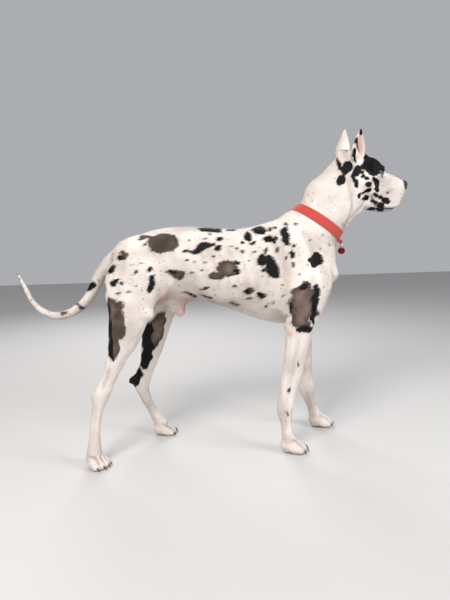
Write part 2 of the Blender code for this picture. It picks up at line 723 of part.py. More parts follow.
def add_ear(head, side, y_sign, parts, tools):
    points, faces = ear_shape(side, y_sign)
    tool = object_from("ear", points, faces, tools)
    face_out(tool.data)
    use_tool(head, tool, "UNION")
    low_y, high_y = sorted((0.012 * y_sign, 0.10 * y_sign))
    return cut_free(head, "ear_" + side, (-0.22, low_y, EAR_CUT), (-0.07, high_y, 0.2), HEAD, parts, tools)


def groove_lips(head, tools):
    """Cuts the line of the mouth along the surface of both cheeks, meeting under the nose."""
    surface = BVHTree.FromObject(head, bpy.context.evaluated_depsgraph_get())
    path = []
    for y_sign in (-1, 1):
        side = []
        for x, z in between(LIP_LINE, 3):
            outward = HEAD.to_3x3() @ Vector((0.9 if x > 0.130 else 0, y_sign, 0)).normalized()
            start = HEAD @ Vector((x - 0.03 if x > 0.130 else x, 0, z))
            hit = surface.ray_cast(start + outward * 0.12, -outward)[0]
            if hit:
                side.append(hit)
        path += side[::-1] if y_sign < 0 else side
    curve = bpy.data.curves.new("lips", "CURVE")
    curve.dimensions = "3D"
    curve.bevel_depth = LIP_GROOVE
    curve.bevel_resolution = 1
    curve.use_fill_caps = True
    line = curve.splines.new("POLY")
    line.points.add(len(path) - 1)
    for point, place in zip(line.points, path):
        point.co = (*place, 1)
    string = bpy.data.objects.new("lips", curve)
    tools.objects.link(string)
    bpy.context.view_layer.update()
    tube_mesh = evaluated_mesh(string)
    shape = bmesh.new()
    shape.from_mesh(tube_mesh)
    bmesh.ops.remove_doubles(shape, verts=shape.verts, dist=1e-5)
    bmesh.ops.recalc_face_normals(shape, faces=shape.faces)
    shape.to_mesh(tube_mesh)
    shape.free()
    tool = bpy.data.objects.new("lip_tool", tube_mesh)
    tools.objects.link(tool)
    bpy.data.objects.remove(string, do_unlink=True)
    use_tool(head, tool, "DIFFERENCE")
    largest_surface(head.data)


def add_nose(head, parts, tools):
    nose = cut_free(head, "nose", (0.1150, -0.05, -0.0400), (0.20, 0.05, 0.04), HEAD, parts, tools)
    for y_sign in (-1, 1):
        x, y, z = NOSTRIL
        tool = ball_tool("nostril", (x, y * y_sign, z, *NOSTRIL_AXES), HEAD, tools)
        use_tool(nose, tool, "DIFFERENCE")
    largest_surface(nose.data)
    return nose


def claw_shape(paw, toe):
    """A short curved cone from inside the toe's end, six-sided, bending down to a blunt point."""
    y, reach, _, tall = toe
    spread = y * 1.14
    rings = []
    for share, radius in ((0, 1.0), (0.45, 0.85), (0.8, 0.5), (1, 0.16)):
        along = reach + 0.014 + CLAW_LENGTH * share
        height = tall * 1.02 - 0.013 * share**1.7
        size = CLAW_RADIUS * radius
        ring = []
        for angle in np.arange(6) * tau / 6:
            ring.append((along, spread + size * cos(angle) * 0.8, height + size * sin(angle)))
        rings.append(ring)
    points, faces = loft(rings)
    return [toe_frame(paw) @ Vector(point) for point in points], faces


def add_claws(node, paw, tools):
    for toe in TOES:
        points, faces = claw_shape(paw, toe)
        tool = object_from("claw", points, faces, tools)
        face_out(tool.data)
        use_tool(node, tool, "UNION")


def collar_frame():
    """x along the neck towards the head, z to the crest."""
    return Matrix.Translation(COLLAR_MIDDLE) @ Matrix.Rotation(-COLLAR_LEAN, 4, "Y")


def collar_section(neck):
    """The neck's own section under the band, read by rays, eased outwards so that the band lies over it."""
    surface = BVHTree.FromObject(neck, bpy.context.evaluated_depsgraph_get())
    frame = collar_frame()
    rows = []
    for along in np.linspace(-0.5, 0.5, 9):
        reach = []
        for angle in np.arange(2 * COLLAR_POINTS) * pi / COLLAR_POINTS:
            outward = Vector((0, sin(angle), cos(angle)))
            start = frame @ (Vector((along * COLLAR_WIDTH, 0, 0)) + outward * 0.3)
            hit = surface.ray_cast(start, frame.to_3x3() @ -outward)
            reach.append(0.3 - hit[3])
        rows.append(reach)
    reach = np.array(rows)
    reach = np.maximum(reach, np.maximum(np.roll(reach, 1, 1), np.roll(reach, -1, 1)))[:, ::2]
    line = np.linspace(reach[0], reach[-1], len(reach))
    clear = (reach - line).max(axis=0) + COLLAR_CLEARANCE
    edges = []
    for edge in (reach[0], reach[-1]):
        edge = edge + clear
        for _ in range(3):
            edge = np.maximum(edge, (np.roll(edge, 1) + np.roll(edge, -1)) / 2)
        edges.append(edge)
    return edges, frame


def add_collar(neck, parts, tools):
    """A flat band round the neck with the tab that holds its ring."""
    (low, high), frame = collar_section(neck)
    half = COLLAR_WIDTH / 2
    profile = ((-half, 0), (half, 0), (half, COLLAR_THICKNESS), (-half, COLLAR_THICKNESS))
    points = []
    faces = []
    for i in range(COLLAR_POINTS):
        angle = i * tau / COLLAR_POINTS
        for along, out in profile:
            far = (low if along < 0 else high)[i] + out
            points.append(frame @ Vector((along, far * sin(angle), far * cos(angle))))
        here = i * 4
        there = (i + 1) % COLLAR_POINTS * 4
        for k in range(4):
            n = (k + 1) % 4
            faces.append((here + k, here + n, there + n, there + k))
    collar = object_from("collar", points, faces, parts)
    face_out(collar.data)
    shape = bmesh.new()
    shape.from_mesh(collar.data)
    bmesh.ops.triangulate(shape, faces=shape.faces)
    shape.to_mesh(collar.data)
    shape.free()
    front = low[COLLAR_POINTS // 2] + COLLAR_THICKNESS
    middle = Vector((-COLLAR_WIDTH / 2 + TAB[0] / 2 + 0.0007, 0, 0.0012 - front - TAB[2] / 2))
    block = bmesh.new()
    bmesh.ops.create_cube(block, size=1, matrix=frame @ Matrix.Translation(middle) @ Matrix.Diagonal((*TAB, 1)))
    mesh = bpy.data.meshes.new("tab")
    block.to_mesh(mesh)
    block.free()
    tab = bpy.data.objects.new("tab", mesh)
    tools.objects.link(tab)
    use_tool(collar, tab, "UNION")
    hole = frame @ (middle - Vector((0, 0, TAB[2] / 2 - TAB[0] / 2)))
    drill = disc_tool("drill", Matrix.Translation(hole), TAB_HOLE, 0.05, 16, tools)
    use_tool(collar, drill, "DIFFERENCE")
    largest_surface(collar.data)
    return collar, hole


def disc_tool(name, place, radius, thick, sides, collection):
    """A flat cylinder with its axis along y."""
    disc = bmesh.new()
    bmesh.ops.create_cone(
        disc, cap_ends=True, segments=sides, radius1=radius, radius2=radius, depth=thick,
        matrix=place @ Matrix.Rotation(pi / 2, 4, "X"),
    )
    mesh = bpy.data.meshes.new(name)
    disc.to_mesh(mesh)
    disc.free()
    made = bpy.data.objects.new(name, mesh)
    collection.objects.link(made)
    return made


def torus_mesh(place, radius, wire, steps=20, sides=8):
    points = []
    faces = []
    for i in range(steps):
        a = i * tau / steps
        for j in range(sides):
            b = j * tau / sides
            out = radius + wire * cos(b)
            points.append(place @ Vector((wire * sin(b), out * cos(a), out * sin(a))))
            here = i * sides
            there = (i + 1) % steps * sides
            k = (j + 1) % sides
            faces.append((here + j, there + j, there + k, here + k))
    return points, faces


def add_ring(hole, parts):
    """The lead ring, which hangs through the tab."""
    place = Matrix.Translation(hole - Vector((0, 0, RING_RADIUS + 0.0005)))
    points, faces = torus_mesh(place, RING_RADIUS, RING_WIRE)
    ring = object_from("collar_ring", points, faces, parts)
    face_out(ring.data)
    return ring, place


def add_tags(ring_place, parts, tools):
    """Two blank round tags that hang side by side on the ring."""
    tags = []
    for name, shift in (("tag_red", -1), ("tag_brass", 1)):
        hole = Vector((0, shift * TAG_APART, -RING_RADIUS + 0.0004))
        middle = hole - Vector((0, 0, TAG_RADIUS - 0.0046))
        tag = disc_tool(name, ring_place @ Matrix.Translation(middle), TAG_RADIUS, TAG_THICKNESS, 24, parts)
        drill = disc_tool("drill", ring_place @ Matrix.Translation(hole), TAG_HOLE, 0.01, 12, tools)
        use_tool(tag, drill, "DIFFERENCE")
        tags.append(tag)
    return tags


def paint_nodes(nodes):
    paints = {
        "coat": make_paint("white_coat", (0.86, 0.83, 0.80), 0.70),
        "eye": make_paint("brown_eye", (0.09, 0.04, 0.02), 0.10),
        "nose": make_paint("black_nose", (0.02, 0.02, 0.02), 0.45),
        "collar": make_paint("coral_nylon", (0.80, 0.09, 0.05), 0.60),
        "collar_ring": make_paint("nickel", (0.70, 0.70, 0.68), 0.25, 1.0),
        "tag_red": make_paint("red_tag", (0.35, 0.01, 0.02), 0.30, 0.6),
        "tag_brass": make_paint("brass_tag", (0.75, 0.36, 0.10), 0.30, 1.0),
    }
    for name, node in nodes.items():
        paint = paints.get(name) or paints.get(name.split("_")[0]) or paints["coat"]
        node.data.materials.clear()
        node.data.materials.append(paint)


def main():
    clear_scene()
    parts = make_collection("great_dane")
    tools = make_collection("cutters")
    whole = fuse_flesh(tools)
    nodes = part_body(whole, parts, tools)
    head = nodes["head"]
    nodes["nose"] = add_nose(head, parts, tools)
    groove_lips(head, tools)
    for side, y_sign in (("right", -1), ("left", 1)):
        nodes["eye_" + side] = add_eye(head, side, y_sign, parts, tools)
        nodes["ear_" + side] = add_ear(head, side, y_sign, parts, tools)
    largest_surface(head.data)
    for paw in PAWS:
        leg, side = paw.split("_")
        add_claws(nodes[leg + "_paw_" + side], paw, tools)
    nodes["collar"], hole = add_collar(nodes["neck"], parts, tools)
    nodes["collar_ring"], ring_place = add_ring(hole, parts)
    for tag in add_tags(ring_place, parts, tools):
        nodes[tag.name] = tag
    paint_nodes(nodes)
    for name, node in nodes.items():
        print(name, len(node.data.polygons))


main()
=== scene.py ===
# %% [markdown]
# # A great dane in a harlequin coat
#
# This lesson dresses a life-size model of a standing great dane. The solids of the dog come in as a fixed
# frame. We keep their sizes, and lay over them one skin, a thin coat of short hair, wet eyes, claws, and a
# coral collar with its ring and two blank tags.
#
# Everything is in metres. The dog looks along +X, its left side is +Y, and the floor is Z = 0.

import json
from math import cos, pi, radians, sin, tau

import bmesh
import bpy
import numpy as np
from mathutils import Matrix, Vector
from mathutils.bvhtree import BVHTree

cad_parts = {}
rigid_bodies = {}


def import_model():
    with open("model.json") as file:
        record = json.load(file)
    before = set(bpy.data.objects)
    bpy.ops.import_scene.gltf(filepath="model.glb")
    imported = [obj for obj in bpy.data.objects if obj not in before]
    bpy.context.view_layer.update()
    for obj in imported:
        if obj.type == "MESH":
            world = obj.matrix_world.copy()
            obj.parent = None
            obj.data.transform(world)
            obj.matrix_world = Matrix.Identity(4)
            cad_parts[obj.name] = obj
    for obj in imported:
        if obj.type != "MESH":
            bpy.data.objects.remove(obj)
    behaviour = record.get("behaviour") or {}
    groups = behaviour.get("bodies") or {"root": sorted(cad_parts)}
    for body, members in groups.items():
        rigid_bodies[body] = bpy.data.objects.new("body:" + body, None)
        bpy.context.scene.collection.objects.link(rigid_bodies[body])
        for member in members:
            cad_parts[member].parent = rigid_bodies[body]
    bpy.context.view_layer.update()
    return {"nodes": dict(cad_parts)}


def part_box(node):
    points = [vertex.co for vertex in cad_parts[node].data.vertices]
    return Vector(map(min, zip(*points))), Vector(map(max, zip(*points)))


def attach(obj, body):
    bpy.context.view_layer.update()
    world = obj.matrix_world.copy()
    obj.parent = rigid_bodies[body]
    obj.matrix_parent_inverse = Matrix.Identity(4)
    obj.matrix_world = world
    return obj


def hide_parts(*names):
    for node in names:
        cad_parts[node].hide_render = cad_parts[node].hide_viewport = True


for thing in list(bpy.data.objects):
    bpy.data.objects.remove(thing, do_unlink=True)
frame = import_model()

# %% [markdown]
# ## The camera
#
# The photograph was taken standing close to the dog's right side, a little below the height of its back,
# with the phone turned by a degree or so. The posts of the house behind gave the tilt, and the dog's own
# proportions gave the distance. We could guess at a lens and slide it about, but a solved camera lets us
# lay the markings on the skin by looking through it, so each patch falls where the photograph has it.

# %% Camera
PHOTO_WIDTH = 450
PHOTO_HEIGHT = 600
FOCAL_PIXELS = 478
CAMERA_PLACE = Vector((-0.135, -1.760, 0.805))
CAMERA_TURN = radians(-5.0)
CAMERA_TILT = radians(-7.8)
CAMERA_ROLL = radians(-1.4)

camera_data = bpy.data.cameras.new("camera")
camera_data.sensor_width = 36
camera_data.lens = FOCAL_PIXELS / PHOTO_HEIGHT * camera_data.sensor_width
camera_data.clip_start = 0.05
camera = bpy.data.objects.new("camera", camera_data)
bpy.context.scene.collection.objects.link(camera)
camera.matrix_world = (
    Matrix.Translation(CAMERA_PLACE)
    @ Matrix.Rotation(CAMERA_TURN, 4, "Z")
    @ Matrix.Rotation(pi / 2 + CAMERA_TILT, 4, "X")
    @ Matrix.Rotation(CAMERA_ROLL, 4, "Z")
)
bpy.context.scene.camera = camera
camera_axes = np.array(camera.matrix_world.to_3x3())


def sight_line(u, v):
    """The direction in which the camera sees a pixel of the photograph."""
    across = (u - PHOTO_WIDTH / 2) / FOCAL_PIXELS
    down = (v - PHOTO_HEIGHT / 2) / FOCAL_PIXELS
    return Vector(camera_axes @ (across, -down, -1)).normalized()


def seen_at(points):
    """Where points fall in the photograph, and how far in front of the camera they are."""
    local = (np.atleast_2d(points) - np.array(CAMERA_PLACE)) @ camera_axes
    depth = -local[:, 2]
    u = PHOTO_WIDTH / 2 + FOCAL_PIXELS * local[:, 0] / depth
    v = PHOTO_HEIGHT / 2 - FOCAL_PIXELS * local[:, 1] / depth
    return u, v, depth


WITHERS = (0.202, 0, 0.859)
print("the withers are seen at", [round(float(a[0]), 1) for a in seen_at(WITHERS)])

# %% [markdown]
# ## Floor and light
#
# A museum's photographer would stand the model on a pale sweep of paper under large soft lamps. One broad
# lamp on the camera's side shapes the muscles, a second fills from the head, and a third edges the back.

# %% Studio
FLOOR_REACH = 14.0


def plain_material(name, colour, roughness):
    material = bpy.data.materials.new(name)
    material.use_nodes = True
    shader = material.node_tree.nodes["Principled BSDF"]
    shader.inputs["Base Color"].default_value = (*colour, 1)
    shader.inputs["Roughness"].default_value = roughness
    return material


def soft_lamp(name, place, aim, size, watts, colour=(1, 1, 1)):
    light = bpy.data.lights.new(name, "AREA")
    light.size = size
    light.energy = watts
    light.color = colour
    lamp = bpy.data.objects.new(name, light)
    lamp.location = place
    lamp.rotation_euler = (Vector(aim) - Vector(place)).to_track_quat("-Z", "Y").to_euler()
    bpy.context.scene.collection.objects.link(lamp)


floor_mesh = bpy.data.meshes.new("floor")
half = FLOOR_REACH / 2
floor_corners = [(-half, -half, 0), (half, -half, 0), (half, half, 0), (-half, half, 0)]
floor_mesh.from_pydata(floor_corners, [], [(0, 1, 2, 3)])
floor_mesh.materials.append(plain_material("pale_floor", (0.52, 0.51, 0.50), 0.85))
floor = bpy.data.objects.new("floor", floor_mesh)
bpy.context.scene.collection.objects.link(floor)

soft_lamp("broad_lamp", (-1.2, -2.3, 2.9), (0, 0, 0.6), 1.3, 125, (1.0, 0.97, 0.93))
soft_lamp("head_lamp", (2.4, -1.6, 1.9), (0.3, 0, 0.7), 1.4, 60, (0.95, 0.97, 1.0))
soft_lamp("edge_lamp", (-0.6, 2.6, 2.4), (0, 0, 0.7), 1.8, 60)
world = bpy.data.worlds.new("studio_air")
world.use_nodes = True
world.node_tree.nodes["Background"].inputs["Color"].default_value = (0.93, 0.95, 1.0, 1)
world.node_tree.nodes["Background"].inputs["Strength"].default_value = 0.44
bpy.context.scene.world = world
bpy.context.scene.view_settings.view_transform = "Standard"
print("stage:", floor.name, "and three lamps")

# %% [markdown]
# ## Working on a surface as arrays
#
# A skin has some hundred thousand points. Asking Blender for them one by one is slow, so we copy them
# into NumPy arrays, work on all of them at once and write them back. A surface here is two arrays: its
# points, and its faces as rows of point numbers.

# %% Surface helpers
def points_of(mesh):
    found = np.empty(len(mesh.vertices) * 3)
    mesh.vertices.foreach_get("co", found)
    return found.reshape(-1, 3)


def set_points(mesh, points):
    mesh.vertices.foreach_set("co", np.ascontiguousarray(points, np.float64).ravel())
    mesh.update()


def normals_of(mesh):
    found = np.empty(len(mesh.vertices) * 3)
    mesh.vertex_normals.foreach_get("vector", found)
    return found.reshape(-1, 3)


def edges_of(mesh):
    found = np.empty(len(mesh.edges) * 2, np.int32)
    mesh.edges.foreach_get("vertices", found)
    return found.reshape(-1, 2)


def faces_of(mesh):
    """Corner numbers of faces that all have four corners, or all three."""
    found = np.empty(len(mesh.loops), np.int32)
    mesh.loops.foreach_get("vertex_index", found)
    return found.reshape(len(mesh.polygons), -1)


def mesh_from(name, points, faces):
    """A mesh from arrays, much faster than from lists. Faces all have as many corners."""
    faces = np.asarray(faces, np.int32)
    count, corners = faces.shape
    mesh = bpy.data.meshes.new(name)
    mesh.vertices.add(len(points))
    mesh.vertices.foreach_set("co", np.ascontiguousarray(points, np.float32).ravel())
    mesh.loops.add(count * corners)
    mesh.loops.foreach_set("vertex_index", faces.ravel())
    mesh.polygons.add(count)
    mesh.polygons.foreach_set("loop_start", np.arange(0, count * corners, corners, dtype=np.int32))
    mesh.polygons.foreach_set("use_smooth", np.ones(count, bool))
    mesh.update(calc_edges=True)
    mesh.validate()
    return mesh


def mesh_of(name, points, faces):
    """A mesh whose faces may have different numbers of corners."""
    mesh = bpy.data.meshes.new(name)
    mesh.from_pydata([tuple(p) for p in points], [], [tuple(f) for f in faces])
    mesh.polygons.foreach_set("use_smooth", np.ones(len(mesh.polygons), bool))
    return mesh


def emptied(shape):
    """Points and faces of a working mesh, which is freed."""
    shape.verts.index_update()
    points = np.array([vert.co for vert in shape.verts])
    faces = [[vert.index for vert in face.verts] for face in shape.faces]
    shape.free()
    return points, faces


def gathered(forms):
    """Points and faces of several forms as one list each."""
    points = []
    faces = []
    for some_points, some_faces in forms:
        start = len(points)
        points += list(some_points)
        faces += [[start + corner for corner in face] for face in some_faces]
    return points, faces


def show(name, mesh, material=None):
    thing = bpy.data.objects.new(name, mesh)
    bpy.context.scene.collection.objects.link(thing)
    if material:
        mesh.materials.append(material)
    return thing


def ease(value, low, high):
    """0 below low, 1 above high, and a smooth step between."""
    t = np.clip((value - low) / (high - low), 0, 1)
    return t * t * (3 - 2 * t)


def smoothed(points, edges, rounds, amount, swell=0.0):
    """Pulls each point towards the mean of its neighbours, and back out by swell to keep the volume."""
    one, two = edges.T
    count = np.maximum(np.bincount(edges.ravel(), minlength=len(points)), 1)[:, None]
    points = points.copy()
    for _ in range(rounds):
        for pull in (amount, -swell):
            if np.ndim(pull) == 0 and pull == 0:
                continue
            total = np.empty_like(points)
            for axis in range(3):
                total[:, axis] = np.bincount(one, points[two, axis], len(points))
                total[:, axis] += np.bincount(two, points[one, axis], len(points))
            points += pull * (total / count - points)
    return points


def remeshed(name, points, faces, voxel):
    """One closed surface round any number of overlapping closed forms."""
    thing = show(name, mesh_of(name, points, faces))
    step = thing.modifiers.new("fuse", "REMESH")
    step.mode = "VOXEL"
    step.voxel_size = voxel
    graph = bpy.context.evaluated_depsgraph_get()
    made = bpy.data.meshes.new_from_object(thing.evaluated_get(graph))
    bpy.data.objects.remove(thing, do_unlink=True)
    return made


# %% [markdown]
# ## One skin for the body
#
# The solids part the dog where a person would name its parts, with hairline gaps. A living dog has no
# gaps, so its skin has to run over them. Joining the solids by Booleans would leave their flat facets.
# Instead we swell each by half a millimetre so that the gaps close, fuse them with a voxel remesh, and
# then smooth: much on the trunk, where the facets are widest, and little on the toes.

# %% Fuse the body's solids
BODY_STARTS = ("torso", "neck", "fore_", "hind_", "thigh_", "tail_")
BODY_NODES = [name for name in frame["nodes"] if name.startswith(BODY_STARTS)]
CLOSE_GAPS = 0.0005
BODY_VOXEL = 0.0036


def closed_copy(node):
    """Points and faces of a solid with its doubled points made one, swollen a little."""
    shape = bmesh.new()
    shape.from_mesh(frame["nodes"][node].data)
    bmesh.ops.remove_doubles(shape, verts=shape.verts, dist=1e-6)
    shape.normal_update()
    points = np.array([vert.co + vert.normal * CLOSE_GAPS for vert in shape.verts])
    return points, emptied(shape)[1]


body = remeshed("body_skin", *gathered([closed_copy(node) for node in BODY_NODES]), BODY_VOXEL)
print("body skin:", len(body.vertices), "points")

# %% [markdown]
# ## Smoothing by region
#
# How far a point may drift is set by where it is. The feet keep their toes, the cannons their slim shape,
# and the trunk becomes one even swell.

# %% Smooth the body
SKIN_DEPTH = 0.0014
BODY_ROUNDS = 70
BODY_FINISH = 6

body_edges = edges_of(body)
bare = points_of(body)
on_trunk = ease(bare[:, 2], 0.44, 0.56) * ease(bare[:, 0], -0.47, -0.41)
on_foot = 1 - ease(bare[:, 2], 0.06, 0.10)
softness = (0.10 + 0.40 * on_trunk) * (1 - 0.8 * on_foot)
shaped = smoothed(bare, body_edges, BODY_ROUNDS, softness[:, None], softness[:, None] * 0.96)
shaped = smoothed(shaped, body_edges, BODY_FINISH, (0.5 * (1 - 0.75 * on_foot))[:, None])
set_points(body, shaped)
shaped = shaped - normals_of(body) * SKIN_DEPTH
shaped[:, 2] = np.maximum(shaped[:, 2], 0.0)
set_points(body, shaped)
print("the skin lies", round(1000 * SKIN_DEPTH, 1), "mm under the solids' faces")

# %% [markdown]
# ## The head and the upper neck
#
# The head decides whether the dog looks alive, so it gets a finer surface than the body: it is built again
# here from the rounded forms that a sculptor would press together, a skull, cheeks, brows, a deep square
# muzzle and a lower jaw, and ends at half the body's grain. The two skins meet under the collar, where no
# one sees it. The head has its own frame: its origin is the stop between the eyes, x runs along the bridge
# of the nose, and z goes up from it.

# %% Head forms
STOP = Vector((0.598, 0.025, 1.0385))
HEAD_TURN = radians(10)
HEAD_NOD = radians(20)
HEAD = Matrix.Translation(STOP) @ Matrix.Rotation(HEAD_TURN, 4, "Z") @ Matrix.Rotation(HEAD_NOD, 4, "Y")
HEAD_VOXEL = 0.0018
RING_POINTS = 36

# Neck stations: x, y, z of the middle, half depth, half width, all in the room's frame.
NECK = (
    (0.3250, 0.000, 0.7900, 0.118, 0.090),
    (0.3850, 0.000, 0.8570, 0.097, 0.075),
    (0.4200, 0.002, 0.9065, 0.101, 0.070),
    (0.4600, 0.004, 0.9550, 0.101, 0.066),
    (0.5000, 0.008, 0.9970, 0.088, 0.060),
)
# Masses: x, y, z, three half axes, and the tilt of the first one upwards in degrees.
NECK_MASSES = {
    "throat_fold": (0.500, 0.004, 0.883, 0.070, 0.034, 0.034, 42),
    "throat_low": (0.473, 0.003, 0.854, 0.055, 0.034, 0.036, 55),
    "crest": (0.440, 0.003, 1.018, 0.062, 0.034, 0.042, 50),
    "crest_low": (0.362, 0.000, 0.960, 0.062, 0.034, 0.034, 50),
}
SKULL_MASSES = {
    "cranium": (-0.080, 0.000, -0.024, 0.084, 0.054, 0.056, 0),
    "forehead": (-0.022, 0.000, -0.015, 0.054, 0.041, 0.046, 0),
    "occiput": (-0.146, 0.000, 0.000, 0.026, 0.018, 0.018, 0),
    "throat": (-0.056, 0.000, -0.112, 0.062, 0.044, 0.042, 20),
}
SKULL_PAIRS = {
    "brow": (0.006, 0.030, -0.003, 0.022, 0.016, 0.014, 0),
    "cheek": (-0.066, 0.040, -0.082, 0.052, 0.026, 0.046, 12),
    "cheek_bone": (-0.040, 0.045, -0.044, 0.046, 0.014, 0.016, 0),
    "ear_root": (-0.122, 0.040, 0.000, 0.026, 0.022, 0.026, 0),
}
# Muzzle and jaw stations: x, top, bottom, half width.
MUZZLE = (
    (-0.030, -0.006, -0.120, 0.0400),
    (0.005, -0.002, -0.137, 0.0425),
    (0.040, 0.000, -0.144, 0.0415),
    (0.075, 0.000, -0.139, 0.0405),
    (0.105, -0.001, -0.127, 0.0390),
    (0.128, -0.003, -0.110, 0.0350),
    (0.141, -0.010, -0.086, 0.0240),
)
JAW = (
    (-0.075, -0.100, -0.150, 0.030),
    (0.000, -0.110, -0.158, 0.030),
    (0.070, -0.108, -0.149, 0.026),
    (0.112, -0.100, -0.132, 0.021),
    (0.126, -0.102, -0.118, 0.010),
)
print("skull forms:", len(SKULL_MASSES) + 2 * len(SKULL_PAIRS) + 2)

# %% [markdown]
# ### Lofts and rounded masses
#
# A loft runs a surface through rings, with a fan at each end. Between the named stations a Catmull-Rom
# curve fills in more, so the muzzle swells and tapers without a kink. A squared ring makes the flat-sided
# muzzle of the breed.

# %% Form helpers
def between(rows, steps):
    """Rows on a Catmull-Rom curve through the given rows."""
    rows = np.array(rows, float)
    padded = np.vstack([2 * rows[0] - rows[1], rows, 2 * rows[-1] - rows[-2]])
    found = []
    for i in range(len(rows) - 1):
        a, b, c, d = padded[i : i + 4]
        bend = 2 * a - 5 * b + 4 * c - d
        twist = 3 * b - a - 3 * c + d
        for t in np.arange(steps) / steps:
            found.append(0.5 * (2 * b + (c - a) * t + bend * t**2 + twist * t**3))
    found.append(rows[-1])
    return np.array(found)


def loft(rings):
    """Points and faces of a closed form through rings of equally many points."""
    rings = np.array(rings)
    count, around = rings.shape[:2]
    points = list(rings.reshape(-1, 3)) + [rings[0].mean(axis=0), rings[-1].mean(axis=0)]
    faces = []
    for i in range(count - 1):
        for j in range(around):
            k = (j + 1) % around
            faces.append([i * around + j, i * around + k, (i + 1) * around + k, (i + 1) * around + j])
    first = count * around
    last = (count - 1) * around
    for j in range(around):
        k = (j + 1) % around
        faces.append([first, k, j])
        faces.append([first + 1, last + j, last + k])
    return points, faces


def moved(points, place):
    matrix = np.array(place)
    return np.asarray(points) @ matrix[:3, :3].T + matrix[:3, 3]


def upright_loft(rows, square, place):
    angle = np.arange(RING_POINTS) * tau / RING_POINTS
    c = np.sign(np.cos(angle)) * np.abs(np.cos(angle)) ** (2 / square)
    s = np.sign(np.sin(angle)) * np.abs(np.sin(angle)) ** (2 / square)
    rings = []
    for x, top, bottom, half_width in between(rows, 5):
        height = (top + bottom) / 2 + (top - bottom) / 2 * s
        rings.append(np.stack([np.full(len(c), x), half_width * c, height], 1))
    points, faces = loft(rings)
    return moved(points, place), faces


def tube(rows):
    """A form along a curve: rows of x, y, z, half depth fore and aft, half width."""
    angle = np.arange(RING_POINTS) * tau / RING_POINTS
    rows = between(rows, 5)
    middles = rows[:, :3]
    along = np.gradient(middles, axis=0)
    along /= np.linalg.norm(along, axis=1, keepdims=True)
    rings = []
    for middle, t, (deep, wide) in zip(middles, along, rows[:, 3:5]):
        side = np.array([0.0, 1.0, 0.0]) - t[1] * t
        side /= np.linalg.norm(side)
        ring = np.outer(np.cos(angle) * deep, np.cross(side, t))
        rings.append(middle + ring + np.outer(np.sin(angle) * wide, side))
    return loft(rings)


def ellipsoid(row, place):
    x, y, z, a, b, c, tilt = row
    placed = place @ Matrix.Translation((x, y, z)) @ Matrix.Rotation(radians(-tilt), 4, "Y")
    ball = bmesh.new()
    bmesh.ops.create_icosphere(ball, subdivisions=4, radius=1, matrix=placed @ Matrix.Diagonal((a, b, c, 1)))
    return emptied(ball)


# %% [markdown]
# ### The ears
#
# This dog's ears are cropped, so they stand up as narrow leaves with a deep cup that faces forward and
# out. A flat leaf would look like card. We loft crescent sections instead, thick at the root and thin at
# the rim. The right ear is held a little lower and further forward than the left.

# %% Ear forms
EARS = {
    "right": ((-0.1080, -0.0520, -0.0240), (-0.1310, -0.0520, 0.0920)),
    "left": ((-0.1160, 0.0420, -0.0180), (-0.1430, 0.0500, 0.1040)),
}
EAR_WIDTHS = (0.040, 0.054, 0.060, 0.057, 0.048, 0.036, 0.021, 0.007)
EAR_CUP = 0.38
EAR_WALL = 0.0044
EAR_WRAP = 105
EAR_BOW = 0.006
EAR_FACING = {"right": 72, "left": 50}


def ear_turn(side):
    """The way an ear's cup faces, as an angle from straight ahead."""
    return radians(EAR_FACING[side]) * (1 if side == "left" else -1)


def ear_form(side):
    root, tip = np.array(EARS[side])
    facing = ear_turn(side)
    face = np.array([cos(facing), sin(facing), 0])
    across = np.array([-sin(facing), cos(facing), 0])
    angles = np.radians(np.linspace(-EAR_WRAP, EAR_WRAP, 20))
    widths = between([[w] for w in EAR_WIDTHS], 3)[:, 0]
    rings = []
    for share, width in zip(np.linspace(0, 1, len(widths)), widths):
        middle = root + (tip - root) * share + face * EAR_BOW * sin(pi * share)
        wall = min(EAR_WALL - 0.0012 * share, width * 0.42)
        half_width = width / 2
        deep = max(width * EAR_CUP, wall + 0.0006)
        outer = [middle + across * half_width * sin(a) - face * deep * cos(a) for a in angles]
        half_width -= wall
        deep -= wall
        inner = [middle + across * half_width * sin(a) - face * deep * cos(a) for a in angles[::-1]]
        rings.append(outer + inner)
    points, faces = loft(rings)
    points = moved(points, HEAD)
    shape = bmesh.new()
    for point in points:
        shape.verts.new(point)
    shape.verts.ensure_lookup_table()
    for face in faces:
        shape.faces.new([shape.verts[corner] for corner in face])
    bmesh.ops.recalc_face_normals(shape, faces=shape.faces)
    return points, emptied(shape)[1]


# %% [markdown]
# ### Fusing the head
#
# The forms of the skull and the neck are first fused coarsely and smoothed hard, so that one runs into
# the next as muscle does under hide. Thin and small forms would be lost in that, so the ears, the nose
# and a ball for each eye's lids join them in a second, finer fusing.

# %% Fuse the skull and the neck
SKULL_VOXEL = 0.0042
SKULL_ROUNDS = 44
SKULL_EVEN_ROUNDS = 26


def opposite(row):
    return (row[0], -row[1], *row[2:])


skull_forms = [tube(NECK), upright_loft(MUZZLE, 2.9, HEAD), upright_loft(JAW, 2.3, HEAD)]
skull_forms += [ellipsoid(row, Matrix()) for row in NECK_MASSES.values()]
skull_forms += [ellipsoid(row, HEAD) for row in SKULL_MASSES.values()]
for row in SKULL_PAIRS.values():
    skull_forms += [ellipsoid(row, HEAD), ellipsoid(opposite(row), HEAD)]
skull = remeshed("skull", *gathered(skull_forms), SKULL_VOXEL)
in_head = np.array(HEAD.inverted())


def head_places(points):
    return points @ in_head[:3, :3].T + in_head[:3, 3]


def head_share(points):
    """1 on the head and 0 on the neck."""
    local = head_places(points)
    return np.clip((local[:, 0] + 0.15) / 0.04, 0, 1) * np.clip((local[:, 2] + 0.20) / 0.03, 0, 1)


